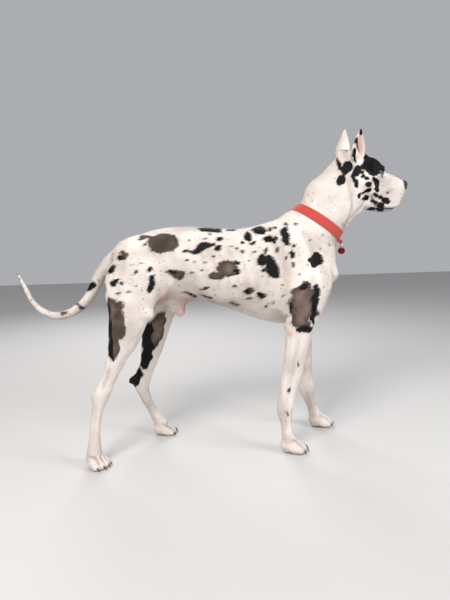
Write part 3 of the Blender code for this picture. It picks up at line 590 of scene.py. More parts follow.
skull_edges = edges_of(skull)
shaped = points_of(skull)
slack = 0.5 * np.maximum(1 - head_share(shaped), 0.10)[:, None]
shaped = smoothed(shaped, skull_edges, SKULL_ROUNDS, slack)
shaped = smoothed(shaped, skull_edges, SKULL_EVEN_ROUNDS, 0.50, 0.51)
set_points(skull, shaped)
print("skull and neck:", len(skull.vertices), "points")

# %% [markdown]
# An eye's ball is 24 mm across and sits deep under the brow. The ball added here is a little larger: it
# becomes the lids.

# %% Fuse the head
NOSE_MASSES = {
    "pad": (0.1335, 0.000, -0.0180, 0.0185, 0.0230, 0.0200, 0),
    "lobe_left": (0.1335, 0.0135, -0.0230, 0.0150, 0.0120, 0.0160, 0),
    "lobe_right": (0.1335, -0.0135, -0.0230, 0.0150, 0.0120, 0.0160, 0),
    "under": (0.1375, 0.000, -0.0400, 0.0100, 0.0080, 0.0130, 0),
}
EYES = {"right": (0.0030, -0.0370, -0.0230), "left": (0.0030, 0.0370, -0.0230)}
EYE_RADIUS = 0.0118
LID_RADIUS = 0.0146
HEAD_ROUNDS = 30
LID_ROUNDS = 10

head_forms = [(points_of(skull), faces_of(skull).tolist()), ear_form("right"), ear_form("left")]
head_forms += [ellipsoid(row, HEAD) for row in NOSE_MASSES.values()]
head_forms += [ellipsoid((*place, LID_RADIUS, LID_RADIUS, LID_RADIUS, 0), HEAD) for place in EYES.values()]
head = remeshed("head_skin", *gathered(head_forms), HEAD_VOXEL)

head_edges = edges_of(head)
bare = points_of(head)
local = head_places(bare)
on_ear = ease(local[:, 2], 0.026, 0.040)
grip = 0.40 * (1 - 0.72 * on_ear)[:, None]
shaped = smoothed(bare, head_edges, HEAD_ROUNDS, grip, grip * 0.98)
eye_gaps = [np.linalg.norm(local - place, axis=1) for place in EYES.values()]
near_eye = np.max([ease(gap, 0.034, 0.020) for gap in eye_gaps], axis=0)
shaped = smoothed(shaped, head_edges, LID_ROUNDS, (0.4 * near_eye)[:, None])
set_points(head, shaped)
set_points(head, shaped - normals_of(head) * (SKIN_DEPTH - 0.0005))
print("head skin:", len(head.vertices), "points")

# %% [markdown]
# ## Two skins that meet under the collar
#
# Each skin is cut a little past the collar's middle, so the two overlap by a finger's breadth under the
# band. Welding them there would need a fine stitch between two grains, for a line that is always covered.

# %% Cut at the collar
COLLAR_MIDDLE = Vector((0.370, 0.000, 0.843))
COLLAR_LEAN = radians(55.5)
COLLAR = Matrix.Translation(COLLAR_MIDDLE) @ Matrix.Rotation(-COLLAR_LEAN, 4, "Y")
OVERLAP = 0.007
in_collar = np.array(COLLAR.inverted())


def along_neck(points):
    """How far each point lies in front of the collar's middle, towards the head."""
    return points @ in_collar[0, :3] + in_collar[0, 3]


def kept_part(mesh, keep):
    """Points and faces of the part of a surface whose points are all kept."""
    faces = faces_of(mesh)
    faces = faces[keep[faces].all(axis=1)]
    used, corners = np.unique(faces, return_inverse=True)
    return points_of(mesh)[used], corners.reshape(faces.shape)


body_part, body_part_faces = kept_part(body, along_neck(points_of(body)) < OVERLAP)
head_part, head_part_faces = kept_part(head, along_neck(points_of(head)) > -OVERLAP)
print("body part:", len(body_part), "points; head part:", len(head_part), "points")

# %% [markdown]
# Feet and eyes need a finer stitch than the rest. `refined` halves the edges there, so the grain changes
# only where small forms will be pressed in.

# %% Refine the feet and the eyes
def refined(name, points, faces, chosen):
    """A mesh of triangles, with the edges between chosen points halved."""
    mesh = mesh_from(name, points, faces)
    shape = bmesh.new()
    shape.from_mesh(mesh)
    shape.verts.ensure_lookup_table()
    near = set(np.flatnonzero(chosen).tolist())
    edges = [edge for edge in shape.edges if edge.verts[0].index in near and edge.verts[1].index in near]
    bmesh.ops.subdivide_edges(shape, edges=edges, cuts=1, use_grid_fill=True)
    bmesh.ops.triangulate(shape, faces=shape.faces)
    shape.to_mesh(mesh)
    shape.free()
    return mesh


def eye_gap(points):
    """Distance to the nearer eye's middle."""
    local = head_places(points)
    return np.min([np.linalg.norm(local - place, axis=1) for place in EYES.values()], axis=0)


FOOT_TOP = 0.085
EYE_ZONE = 0.021
LID_ZONE = 0.0175
body = refined("body_skin", body_part, body_part_faces, body_part[:, 2] < FOOT_TOP)
head = refined("head_skin", head_part, head_part_faces, eye_gap(head_part) < EYE_ZONE)
head = refined("head_skin", points_of(head), faces_of(head), eye_gap(points_of(head)) < LID_ZONE)
HEAD_START = len(body.vertices)
joined_faces = np.vstack([faces_of(body), faces_of(head) + HEAD_START])
skin = mesh_from("skin", np.vstack([points_of(body), points_of(head)]), joined_faces)
skin_faces = faces_of(skin)
skin_edges = edges_of(skin)
close = (ease(points_of(skin)[:, 2], 0.090, 0.080) + ease(eye_gap(points_of(skin)), 0.022, 0.019))[:, None]
set_points(skin, smoothed(points_of(skin), skin_edges, 4, 0.45 * close, 0.44 * close))
print("one skin:", len(skin.vertices), "points,", len(skin.polygons), "faces")

# %% [markdown]
# ## Placing a feature on the skin
#
# A fold or a patch is easier to name by where it is seen than by three coordinates. Three helpers turn
# such a name into a place on the skin: through a pixel of the photograph, from the side of the body, and
# from the side, top or front of the head.

# %% Places on the skin
LEG_GAP = 0.035


def tree_of(points, faces):
    return BVHTree.FromPolygons(points.tolist(), faces.tolist())


skin_tree = tree_of(points_of(skin), skin_faces)


def through_photo(u, v):
    return skin_tree.ray_cast(CAMERA_PLACE, sight_line(u, v))[0]


def on_side(x, z, side):
    """The outer surface at the given height and length, from the right for -1 and the left for 1."""
    return skin_tree.ray_cast(Vector((x, 0.5 * side, z)), Vector((0, -side, 0)))[0]


def inside_leg(x, z, side):
    """The inner surface of a leg, looked for from between the legs."""
    return skin_tree.ray_cast(Vector((x, LEG_GAP * side, z)), Vector((0, side, 0)))[0]


def head_ray(start, way):
    """Where a line in the head's frame meets the skin."""
    return skin_tree.ray_cast(HEAD @ Vector(start), HEAD.to_3x3() @ Vector(way))[0]


def on_head(x, z, side):
    return head_ray((x, 0.2 * side, z), (0, -side, 0))


def on_head_top(x, y):
    return head_ray((x, y, 0.2), (0, 0, -1))


def on_head_front(y, z):
    return head_ray((0.4, y, z), (-1, 0, 0))


ELBOW = (290, 333)
print("the elbow is at", [round(c, 3) for c in through_photo(*ELBOW)])

# %% [markdown]
# ## Pressing folds into the skin
#
# A sculptor would draw a tool along the clay. `press` does that: it moves the skin in or out along its own
# normals, most on the path and less to each side. Sculpt brushes would give the same marks by hand, but a
# path in code can be read, changed and mirrored.

# %% The pressing tool
points = points_of(skin)
normals = normals_of(skin)
points_before = points.copy()
PRESS_REACH = 2.6


def press(path, width, height):
    """Sinks (height below 0) or raises the skin along a path. A path of one point is a spot."""
    path = np.array([tuple(place) for place in path if place is not None], float)
    if not len(path):
        return
    if len(path) == 1:
        path = np.vstack([path, path])
    low, high = path.min(0) - PRESS_REACH * width, path.max(0) + PRESS_REACH * width
    near = np.flatnonzero(((points > low) & (points < high)).all(1))
    nearest = np.full(len(near), 1e9)
    for a, b in zip(path[:-1], path[1:]):
        run = b - a
        share = np.clip((points[near] - a) @ run / max(run @ run, 1e-12), 0, 1)
        gap = points[near] - a - share[:, None] * run
        nearest = np.minimum(nearest, np.einsum("ij,ij->i", gap, gap))
    points[near] += normals[near] * (height * np.exp(-nearest / width**2))[:, None]


def smooth_path(rows, steps=5):
    return between([tuple(row) for row in rows if row is not None], steps)


# %% [markdown]
# ### Trunk and legs
#
# A great dane's coat is so short that the body under it shows: faint ribs, the edge of the shoulder and of
# the big arm muscle behind it, the fold of the flank, the parting between the thigh's muscles, the thin
# hollow in front of the hock's tendon, and the tendons down each leg.

# %% Trunk and leg forms
# Side lines of the trunk: length and height along the line, then width and height of the mark.
SIDE_LINES = {
    "shoulder_back": (((0.178, 0.800), (0.215, 0.720), (0.230, 0.630), (0.222, 0.555)), 0.014, -0.0034),
    "shoulder_front": (((0.300, 0.800), (0.352, 0.700), (0.372, 0.640)), 0.013, -0.0024),
    "shoulder_blade": (((0.262, 0.810), (0.305, 0.720), (0.340, 0.655)), 0.012, 0.0024),
    "arm_muscle": (((0.318, 0.640), (0.292, 0.590), (0.268, 0.530)), 0.010, -0.0024),
    "flank_fold": (((-0.100, 0.660), (-0.150, 0.640), (-0.185, 0.600)), 0.014, -0.0050),
    "hip_hollow": (((-0.150, 0.790), (-0.200, 0.770), (-0.230, 0.740)), 0.020, -0.0030),
    "thigh_parting": (((-0.335, 0.720), (-0.350, 0.620), (-0.372, 0.520)), 0.010, -0.0030),
}
ELBOW_WIDTH = 0.010
ELBOW_RISE = 0.0022
RIBS = 7
RIB_FRONT = 0.145
RIB_STEP = 0.034
# A rib's points: length from its middle, and height.
RIB_LINE = ((-0.020, 0.765), (0.0, 0.700), (0.012, 0.620))
RIB_WIDTH = 0.0085
RIB_DEPTH = -0.0012
for side in (-1, 1):
    for rib in range(RIBS):
        x = RIB_FRONT - RIB_STEP * rib
        press(smooth_path([on_side(x + ahead, z, side) for ahead, z in RIB_LINE]), RIB_WIDTH, RIB_DEPTH)
    for path, width, height in SIDE_LINES.values():
        press(smooth_path([on_side(x, z, side) for x, z in path]), width, height)

# Each leg's own points: upper and lower end of the hock's hollow, and of the tendon's edge down the shank.
LEG_LINES = {
    "hock_right": ((-0.400, 0.352), (-0.424, 0.292), 0.0062, -0.0042),
    "hock_left": ((-0.292, 0.345), (-0.330, 0.268), 0.0066, -0.0042),
    "shank_right": ((-0.452, 0.215), (-0.466, 0.110), 0.0038, -0.0016),
    "shank_left": ((-0.306, 0.190), (-0.268, 0.100), 0.0038, -0.0016),
    "forearm_right": ((0.262, 0.430), (0.228, 0.235), 0.0060, -0.0022),
    "forearm_left": ((0.330, 0.430), (0.343, 0.235), 0.0060, -0.0022),
    "cannon_right": ((0.214, 0.165), (0.219, 0.095), 0.0036, -0.0018),
    "cannon_left": ((0.354, 0.150), (0.374, 0.090), 0.0036, -0.0018),
    "knee_right": ((0.236, 0.205), (0.237, 0.180), 0.0080, 0.0018),
    "knee_left": ((0.374, 0.198), (0.380, 0.172), 0.0080, 0.0018),
}
for name, (top, bottom, width, height) in LEG_LINES.items():
    side = 1 if name.endswith("left") else -1
    top, bottom = np.array(top), np.array(bottom)
    steps = [top + (bottom - top) * t for t in (0, 0.33, 0.67, 1)]
    press([on_side(x, z, side) for x, z in steps], width, height)
    press([inside_leg(x, z, side) for x, z in steps], width, height)
press([through_photo(*ELBOW)], ELBOW_WIDTH, ELBOW_RISE)
deepest_mark = float(np.abs(points - points_before).max())
print("pressed", len(LEG_LINES), "leg lines; deepest so far", round(1000 * deepest_mark, 1), "mm")

# %% [markdown]
# ### Paws
#
# A dane stands on arched, close toes. The grooves between them run from the top of the foot to the pad.

# %% Toe grooves
# Middle of the toes' roots, where the toes point in degrees from +X, and size.
PAWS = {
    "fore_right": (0.2480, -0.101, -6, 1.00),
    "fore_left": (0.4140, 0.121, 4, 1.00),
    "hind_right": (-0.4620, -0.122, -38, 0.92),
    "hind_left": (-0.2330, 0.130, 6, 0.92),
}
# Each toe's y, reach, half width and height in its paw's frame.
TOES = ((-0.0285, 0.020, 0.0130, 0.0170), (-0.0105, 0.032, 0.0140, 0.0195),
        (0.0105, 0.032, 0.0140, 0.0195), (0.0285, 0.020, 0.0130, 0.0170))
TOE_GAPS = (-0.0200, 0.0, 0.0200)
# A groove's points: forward, share of its gap, and height.
GROOVE = ((-0.006, 0.90, 0.052), (0.012, 0.96, 0.046), (0.030, 1.02, 0.032), (0.040, 1.06, 0.014))
GROOVE_WIDTH = 0.0036
GROOVE_DEPTH = -0.0046
KNUCKLE_BACK = 0.008
KNUCKLE_WIDTH = 0.0070
KNUCKLE_RISE = 0.0018


def paw_place(paw):
    x, y, turn, size = PAWS[paw]
    return Matrix.Translation((x, y, 0)) @ Matrix.Rotation(radians(turn), 4, "Z") @ Matrix.Scale(size, 4)


def on_paw(paw, x, y, z):
    """The nearest skin to a point of the paw's frame."""
    return skin_tree.find_nearest(paw_place(paw) @ Vector((x, y, z)))[0]


for paw in PAWS:
    for gap in TOE_GAPS:
        line = [on_paw(paw, x, gap * spread, z) for x, spread, z in GROOVE]
        press(smooth_path(line, 4), GROOVE_WIDTH, GROOVE_DEPTH)
    for y, reach, _, tall in TOES:
        press([on_paw(paw, reach - KNUCKLE_BACK, y, tall * 2.2)], KNUCKLE_WIDTH, KNUCKLE_RISE)
print("toe grooves:", len(PAWS) * len(TOE_GAPS))

# %% [markdown]
# ### The face
#
# The long mouth line of a dane runs back under heavy lips. Above it the muzzle is square, with a shallow
# channel each side of the bridge, a hollow under each eye, a furrow up the forehead and a fold where the
# cheek meets the neck. All of it is drawn once and mirrored.

# %% Face forms
MOUTH_LINE = ((0.139, -0.064), (0.137, -0.090), (0.128, -0.107), (0.106, -0.123), (0.075, -0.133),
              (0.042, -0.135), (0.020, -0.127), (0.006, -0.112))
MOUTH_WIDTH = 0.0021
MOUTH_DEPTH = -0.0040
BRIDGE_CHANNEL = (0.015, 0.050, 0.085, 0.112)
FURROW = (0.004, -0.020, -0.055, -0.095)
BROW_WRINKLES = 3
WHISKER_ROWS = 4
# Side lines of the face in the head's frame: x and z along the line, then width and height.
FACE_LINES = {
    "upper_lip_roll": (((0.130, -0.096), (0.106, -0.114), (0.075, -0.124), (0.042, -0.126)), 0.0060, 0.0016),
    "flew_fold": (((0.026, -0.112), (0.044, -0.088), (0.072, -0.066)), 0.0065, -0.0018),
    "flew_fold_back": (((0.012, -0.112), (0.018, -0.086), (0.034, -0.062)), 0.0060, -0.0014),
    "lip_corner_fold": (((0.006, -0.108), (-0.010, -0.120), (-0.022, -0.140)), 0.0060, -0.0026),
    "under_eye": (((0.014, -0.048), (0.030, -0.040), (0.050, -0.036)), 0.0110, -0.0022),
    "temple": (((-0.040, -0.014), (-0.066, -0.012)), 0.0150, -0.0030),
    "cheek_front": (((-0.018, -0.066), (-0.022, -0.095), (-0.034, -0.118)), 0.0090, -0.0016),
    "cheek_fold": (((-0.112, -0.030), (-0.118, -0.080), (-0.100, -0.125), (-0.078, -0.158)),
                   0.0090, -0.0026),
    "jaw_vein": (((-0.006, -0.070), (0.010, -0.092), (0.028, -0.104)), 0.0024, 0.0007),
}
# Folds seen in the photograph: pixels along the fold, then width and height.
NECK_FOLDS = {
    "throat": (((352, 203), (352, 209), (350, 216), (346.5, 223), (344.5, 229)), 0.0052, -0.0036),
    "throat_front": (((362, 206), (356, 212), (350, 219)), 0.0050, -0.0020),
    "nape": (((303, 197), (314, 202), (326, 209)), 0.0060, -0.0016),
}
for side in (-1, 1):
    press(smooth_path([on_head(x, z, side) for x, z in MOUTH_LINE]), MOUTH_WIDTH, MOUTH_DEPTH)
    for path, width, height in FACE_LINES.values():
        press(smooth_path([on_head(x, z, side) for x, z in path]), width, height)
    press(smooth_path([on_head_top(x, 0.021 * side) for x in BRIDGE_CHANNEL]), 0.0060, -0.0013)
    for step in range(BROW_WRINKLES):
        back = -0.026 - 0.010 * step
        shares = (0, 0.35, 0.7, 1)
        arc = [on_head_top(back + 0.006 * cos(pi * t), (0.010 + 0.030 * t) * side) for t in shares]
        press(smooth_path(arc), 0.0030, -0.0009)
    for row in range(WHISKER_ROWS):
        for x in np.arange(0.070 + 0.004 * (row % 2), 0.128, 0.0095):
            press([on_head(x, -0.048 - 0.010 * row - 0.12 * (x - 0.07), side)], 0.0016, 0.0005)
press(smooth_path([on_head_top(x, 0) for x in FURROW]), 0.0080, -0.0024)
for fold, width, height in NECK_FOLDS.values():
    press(smooth_path([through_photo(u, v) for u, v in fold]), width, height)
print("face lines:", len(FACE_LINES), "each side")

# %% [markdown]
# ### The nose
#
# The nose is bare pebbled leather with two comma-shaped nostrils, a groove between them that runs down to
# the lip, and an edge where the hair stops.

# %% Nose forms
NOSE_BACK = 0.1170
NOSE_BOTTOM = -0.0470
for side in (-1, 1):
    comma = [on_head_front(0.0068 * side, -0.0130), on_head_front(0.0100 * side, -0.0150),
             on_head_front(0.0128 * side, -0.0195), on_head(0.1390, -0.0215, side),
             on_head(0.1345, -0.0205, side)]
    press(smooth_path(comma, 4), 0.0026, -0.0062)
    press([on_head_front(0.0090 * side, -0.0155)], 0.0034, -0.0050)
    edge = [on_head_top(NOSE_BACK, 0.004 * side), on_head_top(NOSE_BACK - 0.001, 0.013 * side),
            on_head(NOSE_BACK, -0.0160, side), on_head(NOSE_BACK + 0.004, -0.0320, side),
            on_head(NOSE_BACK + 0.013, NOSE_BOTTOM, side)]
    press(smooth_path(edge, 4), 0.0018, -0.0012)
press(smooth_path([on_head_front(0, z) for z in (-0.020, -0.032, -0.046, -0.060)]), 0.0014, -0.0026)
print("nostrils and groove pressed")

# %% [markdown]
# ### Lids
#
# A dane's eye is an almond with a slightly loose lower lid, its inner corner the lower one. The skin inside
# the almond is drawn back behind the eyeball, and what stays in front of the ball is the lid, with a rim a
# millimetre or two thick and a crease above it.

# %% Open the lids
EYE_TURN = 40
EYE_RISE = 3
LID_SLANT = 14
OPENING_HALF = 0.0122
UPPER_ARCH = 0.0060
LOWER_ARCH = 0.0062
BEHIND_BALL = 0.0098
LID_REACH = 0.024
LID_THICKNESS = 0.0014
CREASE_DEPTH = 0.0008
CREASE_ABOVE = 0.0052
CREASE_WIDTH = 0.0011


def eye_place(side):
    """The eye's frame: x along its look, y to the left, z along the slant of the lids."""
    sign = 1 if side == "left" else -1
    look = Matrix.Rotation(radians(EYE_TURN * sign), 4, "Z") @ Matrix.Rotation(radians(-EYE_RISE), 4, "Y")
    return HEAD @ Matrix.Translation(EYES[side]) @ look @ Matrix.Rotation(radians(LID_SLANT * sign), 4, "X")


def lid_depth(across, up):
    """How far a spot lies inside the almond between the lids."""
    share = np.clip(1 - (across / OPENING_HALF) ** 2, 0, 1) ** 0.75
    beyond = np.maximum(np.abs(across) - OPENING_HALF, 0)
    return np.minimum(UPPER_ARCH * share - up, up + LOWER_ARCH * share) - beyond


lid_edge = np.full(len(points), 0.05)
for side in EYES:
    place = np.array(eye_place(side))
    out = points - place[:3, 3]
    far = np.linalg.norm(out, axis=1)
    near = np.flatnonzero((far < LID_REACH) & (out @ place[:3, 0] > 0.0))
    turned = out[near] / far[near, None] @ place[:3, :3]
    deep = lid_depth(turned[:, 1] * EYE_RADIUS, turned[:, 2] * EYE_RADIUS)
    lid = np.maximum(far[near], EYE_RADIUS + LID_THICKNESS)
    crease = np.exp(-(((deep + CREASE_ABOVE) / CREASE_WIDTH) ** 2))
    lid -= CREASE_DEPTH * crease * (turned[:, 2] > 0)
    inside = ease(deep, -0.0002, 0.0008) * ease(turned[:, 0], 0.10, 0.30)
    wanted = lid + (BEHIND_BALL - lid) * inside
    points[near] = place[:3, 3] + out[near] * (wanted / far[near])[:, None]
    lid_edge[near] = np.minimum(lid_edge[near], np.abs(deep))
set_points(skin, points)
print("lids opened round", len(EYES), "eyes")

# %% [markdown]
# ## Where the markings lie
#
# Harlequin is a white coat with torn patches of black, and often some of grey or brown. Each patch here
# is a named ellipse. Those of the right side are given where the photograph shows them, as pixels, half
# sizes and a tilt, and the camera carries them to the skin. One grey patch there, on the inner side of the
# far thigh, is no marking but painted shade. The left side isn't in the photograph, so its patches are
# placed as such a dog has them. Every point of the skin then learns how far inside a patch it lies. We
# could paint a picture and wrap it, but a distance stays sharp at any scale, and the material can tear
# its edge with noise as fine as hairs.

# %% Patches of the right side
# Pixel across, pixel down, half width, half height, and tilt in degrees, counter-clockwise.
BLACK_PATCHES = {
    "thigh_dark": (152, 283, 4.0, 9.0, -18),
    "thigh_round": (150, 269, 3.4, 3.0, 0),
    "thigh_small": (137, 273, 3.0, 1.8, 20),
    "hip_low": (116, 282, 5.4, 3.0, 20),
    "hip_low_back": (124, 284, 2.2, 1.6, 0),
    "rump_edge": (112, 270, 4.4, 3.4, 20),
    "back_row_far": (203, 248, 11.0, 4.0, 22),
    "back_row_tail": (187, 251, 4.0, 2.0, 5),
    "back_row_round": (219, 248, 3.6, 3.2, 0),
    "back_row_near": (222, 240, 4.0, 2.5, 10),
    "topline": (214, 230, 9.5, 3.4, -6),
    "topline_tail": (202, 229, 5.0, 1.6, -8),
    "topline_dot": (211, 234, 1.8, 1.4, 0),
    "topline_dot_back": (205, 239, 1.6, 1.4, 0),
    "back_dot": (214, 256, 1.6, 1.2, 0),
    "back_dot_far": (188, 261, 2.0, 1.2, 10),
    "flank_fold": (192, 294, 8.6, 1.4, -19),
    "flank_fold_front": (208, 297, 6.2, 1.3, -22),
    "fork_left": (263, 260, 6.0, 5.4, 15),
    "fork_right": (273, 267, 6.4, 12.0, 14),
    "fork_dot": (264, 269, 2.4, 2.2, 0),
    "fork_spike": (267, 252, 2.1, 4.2, 0),
    "shoulder_tall": (286, 235, 4.6, 9.6, 6),
    "withers_patch": (260, 230, 6.9, 5.8, -20),
    "withers_round": (269, 239, 4.8, 4.5, 0),
    "withers_dot": (271, 230, 2.6, 2.1, 30),
    "withers_dot_front": (276, 228, 2.4, 1.8, 0),
    "rib_patch": (248, 236, 5.0, 4.5, 0),
    "rib_top": (232, 230, 4.6, 1.9, 8),
    "rib_dot_a": (253, 242, 3.4, 2.4, 30),
    "rib_dot_b": (244, 243, 2.6, 1.7, 0),
    "rib_dot_c": (232, 246, 1.6, 1.2, 0),
    "rib_dot_d": (238, 248, 2.0, 1.5, 0),
    "rib_dot_e": (244, 251, 2.9, 1.7, 10),
    "shoulder_streak": (276, 240, 1.8, 4.5, -10),
    "shoulder_streak_low": (278, 249, 1.7, 3.4, 0),
    "arm_streak": (293, 254, 2.6, 4.5, 0),
    "neck_dot": (296, 223, 2.2, 2.0, 0),
    "neck_dot_back": (287, 224, 2.1, 1.8, 0),
    "neck_base": (316, 260, 7.4, 8.4, -20),
    "arm_edge": (315.5, 304, 3.6, 21.0, -8),
    "arm_edge_low": (305, 329, 8.5, 3.6, 20),
    "low_rib_front": (263, 294, 5.0, 3.4, 10),
    "low_rib_small": (268, 305, 2.4, 1.2, -8),
    "tail_patch": (92, 284, 3.4, 7.0, -24),
    "far_hock": (133, 378, 8.5, 9.0, 30),
    "far_shank": (141, 356, 8.0, 24.0, -16),
    "far_thigh_back": (147, 335, 6.0, 14.0, -10),
    "brow": (374, 165, 11.5, 11.0, -35),
    "brow_front": (379.5, 167, 5.4, 7.0, 10),
    "brow_top": (369, 158, 6.0, 5.4, -30),
    "behind_ear": (357, 171, 4.4, 6.6, -24),
    "behind_ear_tail": (354, 178, 2.2, 4.2, 10),
    "nape_spot": (347.5, 168, 4.8, 7.4, -20),
    "neck_spot": (341.5, 179, 4.2, 6.0, -24),
    "nape_line": (340.0, 163.5, 2.2, 7.4, 18),
    "ear_back_line": (354.6, 155, 1.7, 8.0, 6),
    "ear_edge": (357.0, 142, 1.1, 11.0, 10),
    "ear_tip": (361.0, 132, 1.6, 3.8, 10),
    "crown_spot": (363.5, 167, 2.6, 3.0, 0),
    "cheek_a": (362.5, 172, 2.2, 1.9, 0),
    "cheek_b": (363.5, 176, 2.7, 1.9, 20),
    "cheek_c": (367, 178.5, 2.9, 2.0, -20),
    "cheek_d": (357, 183.5, 2.2, 4.6, -8),
    "cheek_e": (369, 184.5, 3.4, 2.9, 20),
    "cheek_f": (374, 179.5, 2.0, 3.0, 20),
    "cheek_g": (377, 183.5, 2.4, 5.4, 12),
    "cheek_h": (377, 190, 3.1, 2.2, -30),
    "cheek_i": (367.5, 190.5, 5.2, 1.7, 24),
    "cheek_j": (363.5, 192.5, 2.2, 1.5, 0),
    "cheek_k": (359.5, 195, 1.9, 3.4, -8),
    "cheek_l": (367, 196.5, 2.4, 1.8, 0),
    "cheek_m": (376, 195, 3.6, 2.2, -30),
    "cheek_n": (381, 197.5, 3.0, 2.2, -30),
    "cheek_o": (365, 199, 4.6, 1.3, 0),
    "cheek_p": (373, 201, 3.2, 1.8, -10),
    "cheek_q": (377, 203, 2.4, 1.8, 0),
    "lip_spot": (386, 200.5, 5.0, 3.2, -14),
    "lip_spot_low": (381, 205, 3.4, 3.0, 0),
    "arm_top": (305, 286, 6.0, 3.4, 10),
    "arm_back": (291.5, 306, 1.8, 10.0, 6),
    "thigh_back_edge": (109.6, 320, 2.6, 24.0, 3),
    "thigh_back_low_edge": (111, 350, 2.8, 12.0, 4),
    "mid_flank_edge": (237, 272, 3.6, 2.2, -30),
    "mid_flank_top": (238, 262, 3.2, 2.2, -20),
    "flank_dark": (172, 272, 4.6, 2.2, -4),
    "croup_dark": (121, 258, 3.0, 3.6, 38),
    "back_row_link": (213, 244, 3.4, 1.8, 16),
    "low_rib_dark": (247, 291, 4.6, 2.4, 4),
    "arm_high_dot": (300, 274, 1.8, 1.2, 0),
    "shoulder_dot": (293, 244, 2.1, 1.7, 0),
    "shoulder_dot_low": (287, 258, 1.8, 2.4, 0),
    "chest_dot": (283, 284, 1.5, 1.1, 0),
    "rib_dot_f": (256, 252, 2.1, 1.6, 0),
    "rib_dot_g": (249, 262, 1.4, 1.0, 0),
    "rib_dot_h": (219, 262, 1.5, 1.1, 0),
    "rib_dot_i": (207, 262, 1.5, 1.0, 0),
    "loin_dot": (190, 240, 1.7, 1.2, 0),
    "loin_dot_low": (196, 262, 1.4, 1.0, 0),
    "hip_dot": (141, 262, 1.7, 1.4, 0),
    "hip_dot_low": (130, 292, 1.8, 1.6, 0),
    "hip_dot_back": (136, 286, 1.3, 1.1, 0),
    "jaw_spot": (371.5, 209, 5.0, 2.0, 4),
    "jaw_spot_front": (381, 209, 4.4, 3.2, -8),
}
GREY_PATCHES = {
    "rump": (164, 243, 16.0, 10.2, 4),
    "rump_band": (146, 238, 9.0, 2.4, 8),
    "rump_small": (145, 244, 3.6, 1.8, 0),
    "croup": (124, 255, 4.6, 5.6, 38),
    "croup_low": (112, 269, 6.4, 3.4, 22),
    "croup_faint": (133, 265, 1.8, 1.5, 0),
    "hip_faint": (119, 293, 2.6, 1.4, 0),
    "hip_faint_back": (111, 297, 1.6, 1.2, 0),
    "thigh_brown": (123, 305, 3.6, 4.2, 0),
    "thigh_back": (116, 318, 9.6, 22.0, 12),
    "thigh_back_low": (114, 346, 6.2, 13.0, 8),
    "flank_brown": (178, 274, 10.0, 4.8, -4),
    "flank_brown_back": (167, 271, 3.4, 1.4, 0),
    "flank_dot": (194, 273, 3.4, 1.5, -6),
    "flank_faint": (202, 269, 2.6, 1.2, 0),
    "belly_brown": (205, 288, 6.4, 1.3, -4),
    "mid_flank": (229, 268, 12.6, 8.4, -24),
    "mid_flank_low": (217, 276, 9.6, 4.2, 0),
    "arm_patch": (303.5, 303, 11.6, 23.0, -8),
    "arm_patch_low": (301, 320, 9.6, 10.0, 0),
    "back_row_brown": (196, 250, 7.0, 3.0, 10),
    "arm_brown": (293, 264, 1.7, 3.2, 0),
    "collar_grey": (312, 240, 1.8, 1.3, 0),
    "collar_grey_low": (322, 248, 1.8, 1.3, 20),
    "collar_grey_front": (329, 244, 1.6, 1.2, 0),
    "low_rib": (250, 291, 7.0, 3.6, 4),
    "low_rib_tail": (250, 298, 4.6, 1.6, 0),
    "low_rib_grey": (235, 303, 4.8, 2.0, -10),
    "low_rib_faint": (236, 287, 3.4, 1.2, 0),
    "belly_faint_a": (275, 302, 2.0, 1.2, 0),
    "belly_faint_b": (284, 295, 1.6, 1.2, 0),
    "belly_faint_c": (286, 314, 2.6, 1.2, 0),
    "leg_grey_a": (298, 363, 1.8, 3.0, 0),
    "leg_grey_b": (290, 390, 1.6, 3.6, 0),
    "leg_grey_c": (287, 413, 1.5, 3.0, 0),
    "tail_grey": (66, 313, 5.0, 2.2, 6),
    "muzzle_grey": (388, 193, 1.8, 1.3, 0),
    # Painted shade, not a marking: the inner side of the far thigh, under the body, darkened as a grey
    # patch.
    "far_thigh_shade": (156, 330, 8.0, 22.0, -20),
}
print("patches of the right side:", len(BLACK_PATCHES), "black,", len(GREY_PATCHES), "grey")

# %% Patches of the left side
# Place along the body, height, half length and half height in metres, and tilt in degrees.
BLACK_LEFT = {
    "neck_collar": (0.395, 0.955, 0.026, 0.034, 30),
    "neck_throat": (0.460, 0.905, 0.014, 0.018, 0),
    "shoulder": (0.262, 0.752, 0.036, 0.052, -20),
    "shoulder_low": (0.325, 0.690, 0.016, 0.022, 0),
    "withers": (0.205, 0.842, 0.030, 0.016, 0),
    "ribs_front": (0.150, 0.690, 0.022, 0.030, 35),
    "ribs_dot": (0.178, 0.640, 0.010, 0.009, 0),
    "ribs_top": (0.085, 0.790, 0.034, 0.014, -12),
    "ribs_back": (-0.010, 0.640, 0.018, 0.013, 20),
    "loin_dot": (-0.075, 0.790, 0.014, 0.009, 0),
    "hip": (-0.215, 0.770, 0.030, 0.020, 30),
    "croup": (-0.318, 0.765, 0.020, 0.012, -20),
    "thigh": (-0.262, 0.610, 0.020, 0.044, -12),
    "thigh_dot": (-0.330, 0.655, 0.011, 0.010, 0),
    "stifle_dot": (-0.190, 0.545, 0.010, 0.008, 0),
    "hock": (-0.318, 0.262, 0.032, 0.034, 0),
    "shank": (-0.286, 0.345, 0.028, 0.068, -20),
    "forearm_dot": (0.342, 0.400, 0.010, 0.016, 0),
    "tail": (-0.500, 0.566, 0.026, 0.010, -40),
    "eye": (0.585, 1.008, 0.034, 0.032, 0),
    "ear_root": (0.520, 1.095, 0.018, 0.022, 0),
    "jaw": (0.560, 0.925, 0.014, 0.010, 0),
    "cheek": (0.545, 0.975, 0.010, 0.014, 20),
    "cheek_low": (0.525, 0.940, 0.008, 0.007, 0),
    "lip": (0.655, 0.915, 0.018, 0.010, -20),
    "muzzle_dot": (0.650, 0.970, 0.007, 0.006, 0),
}
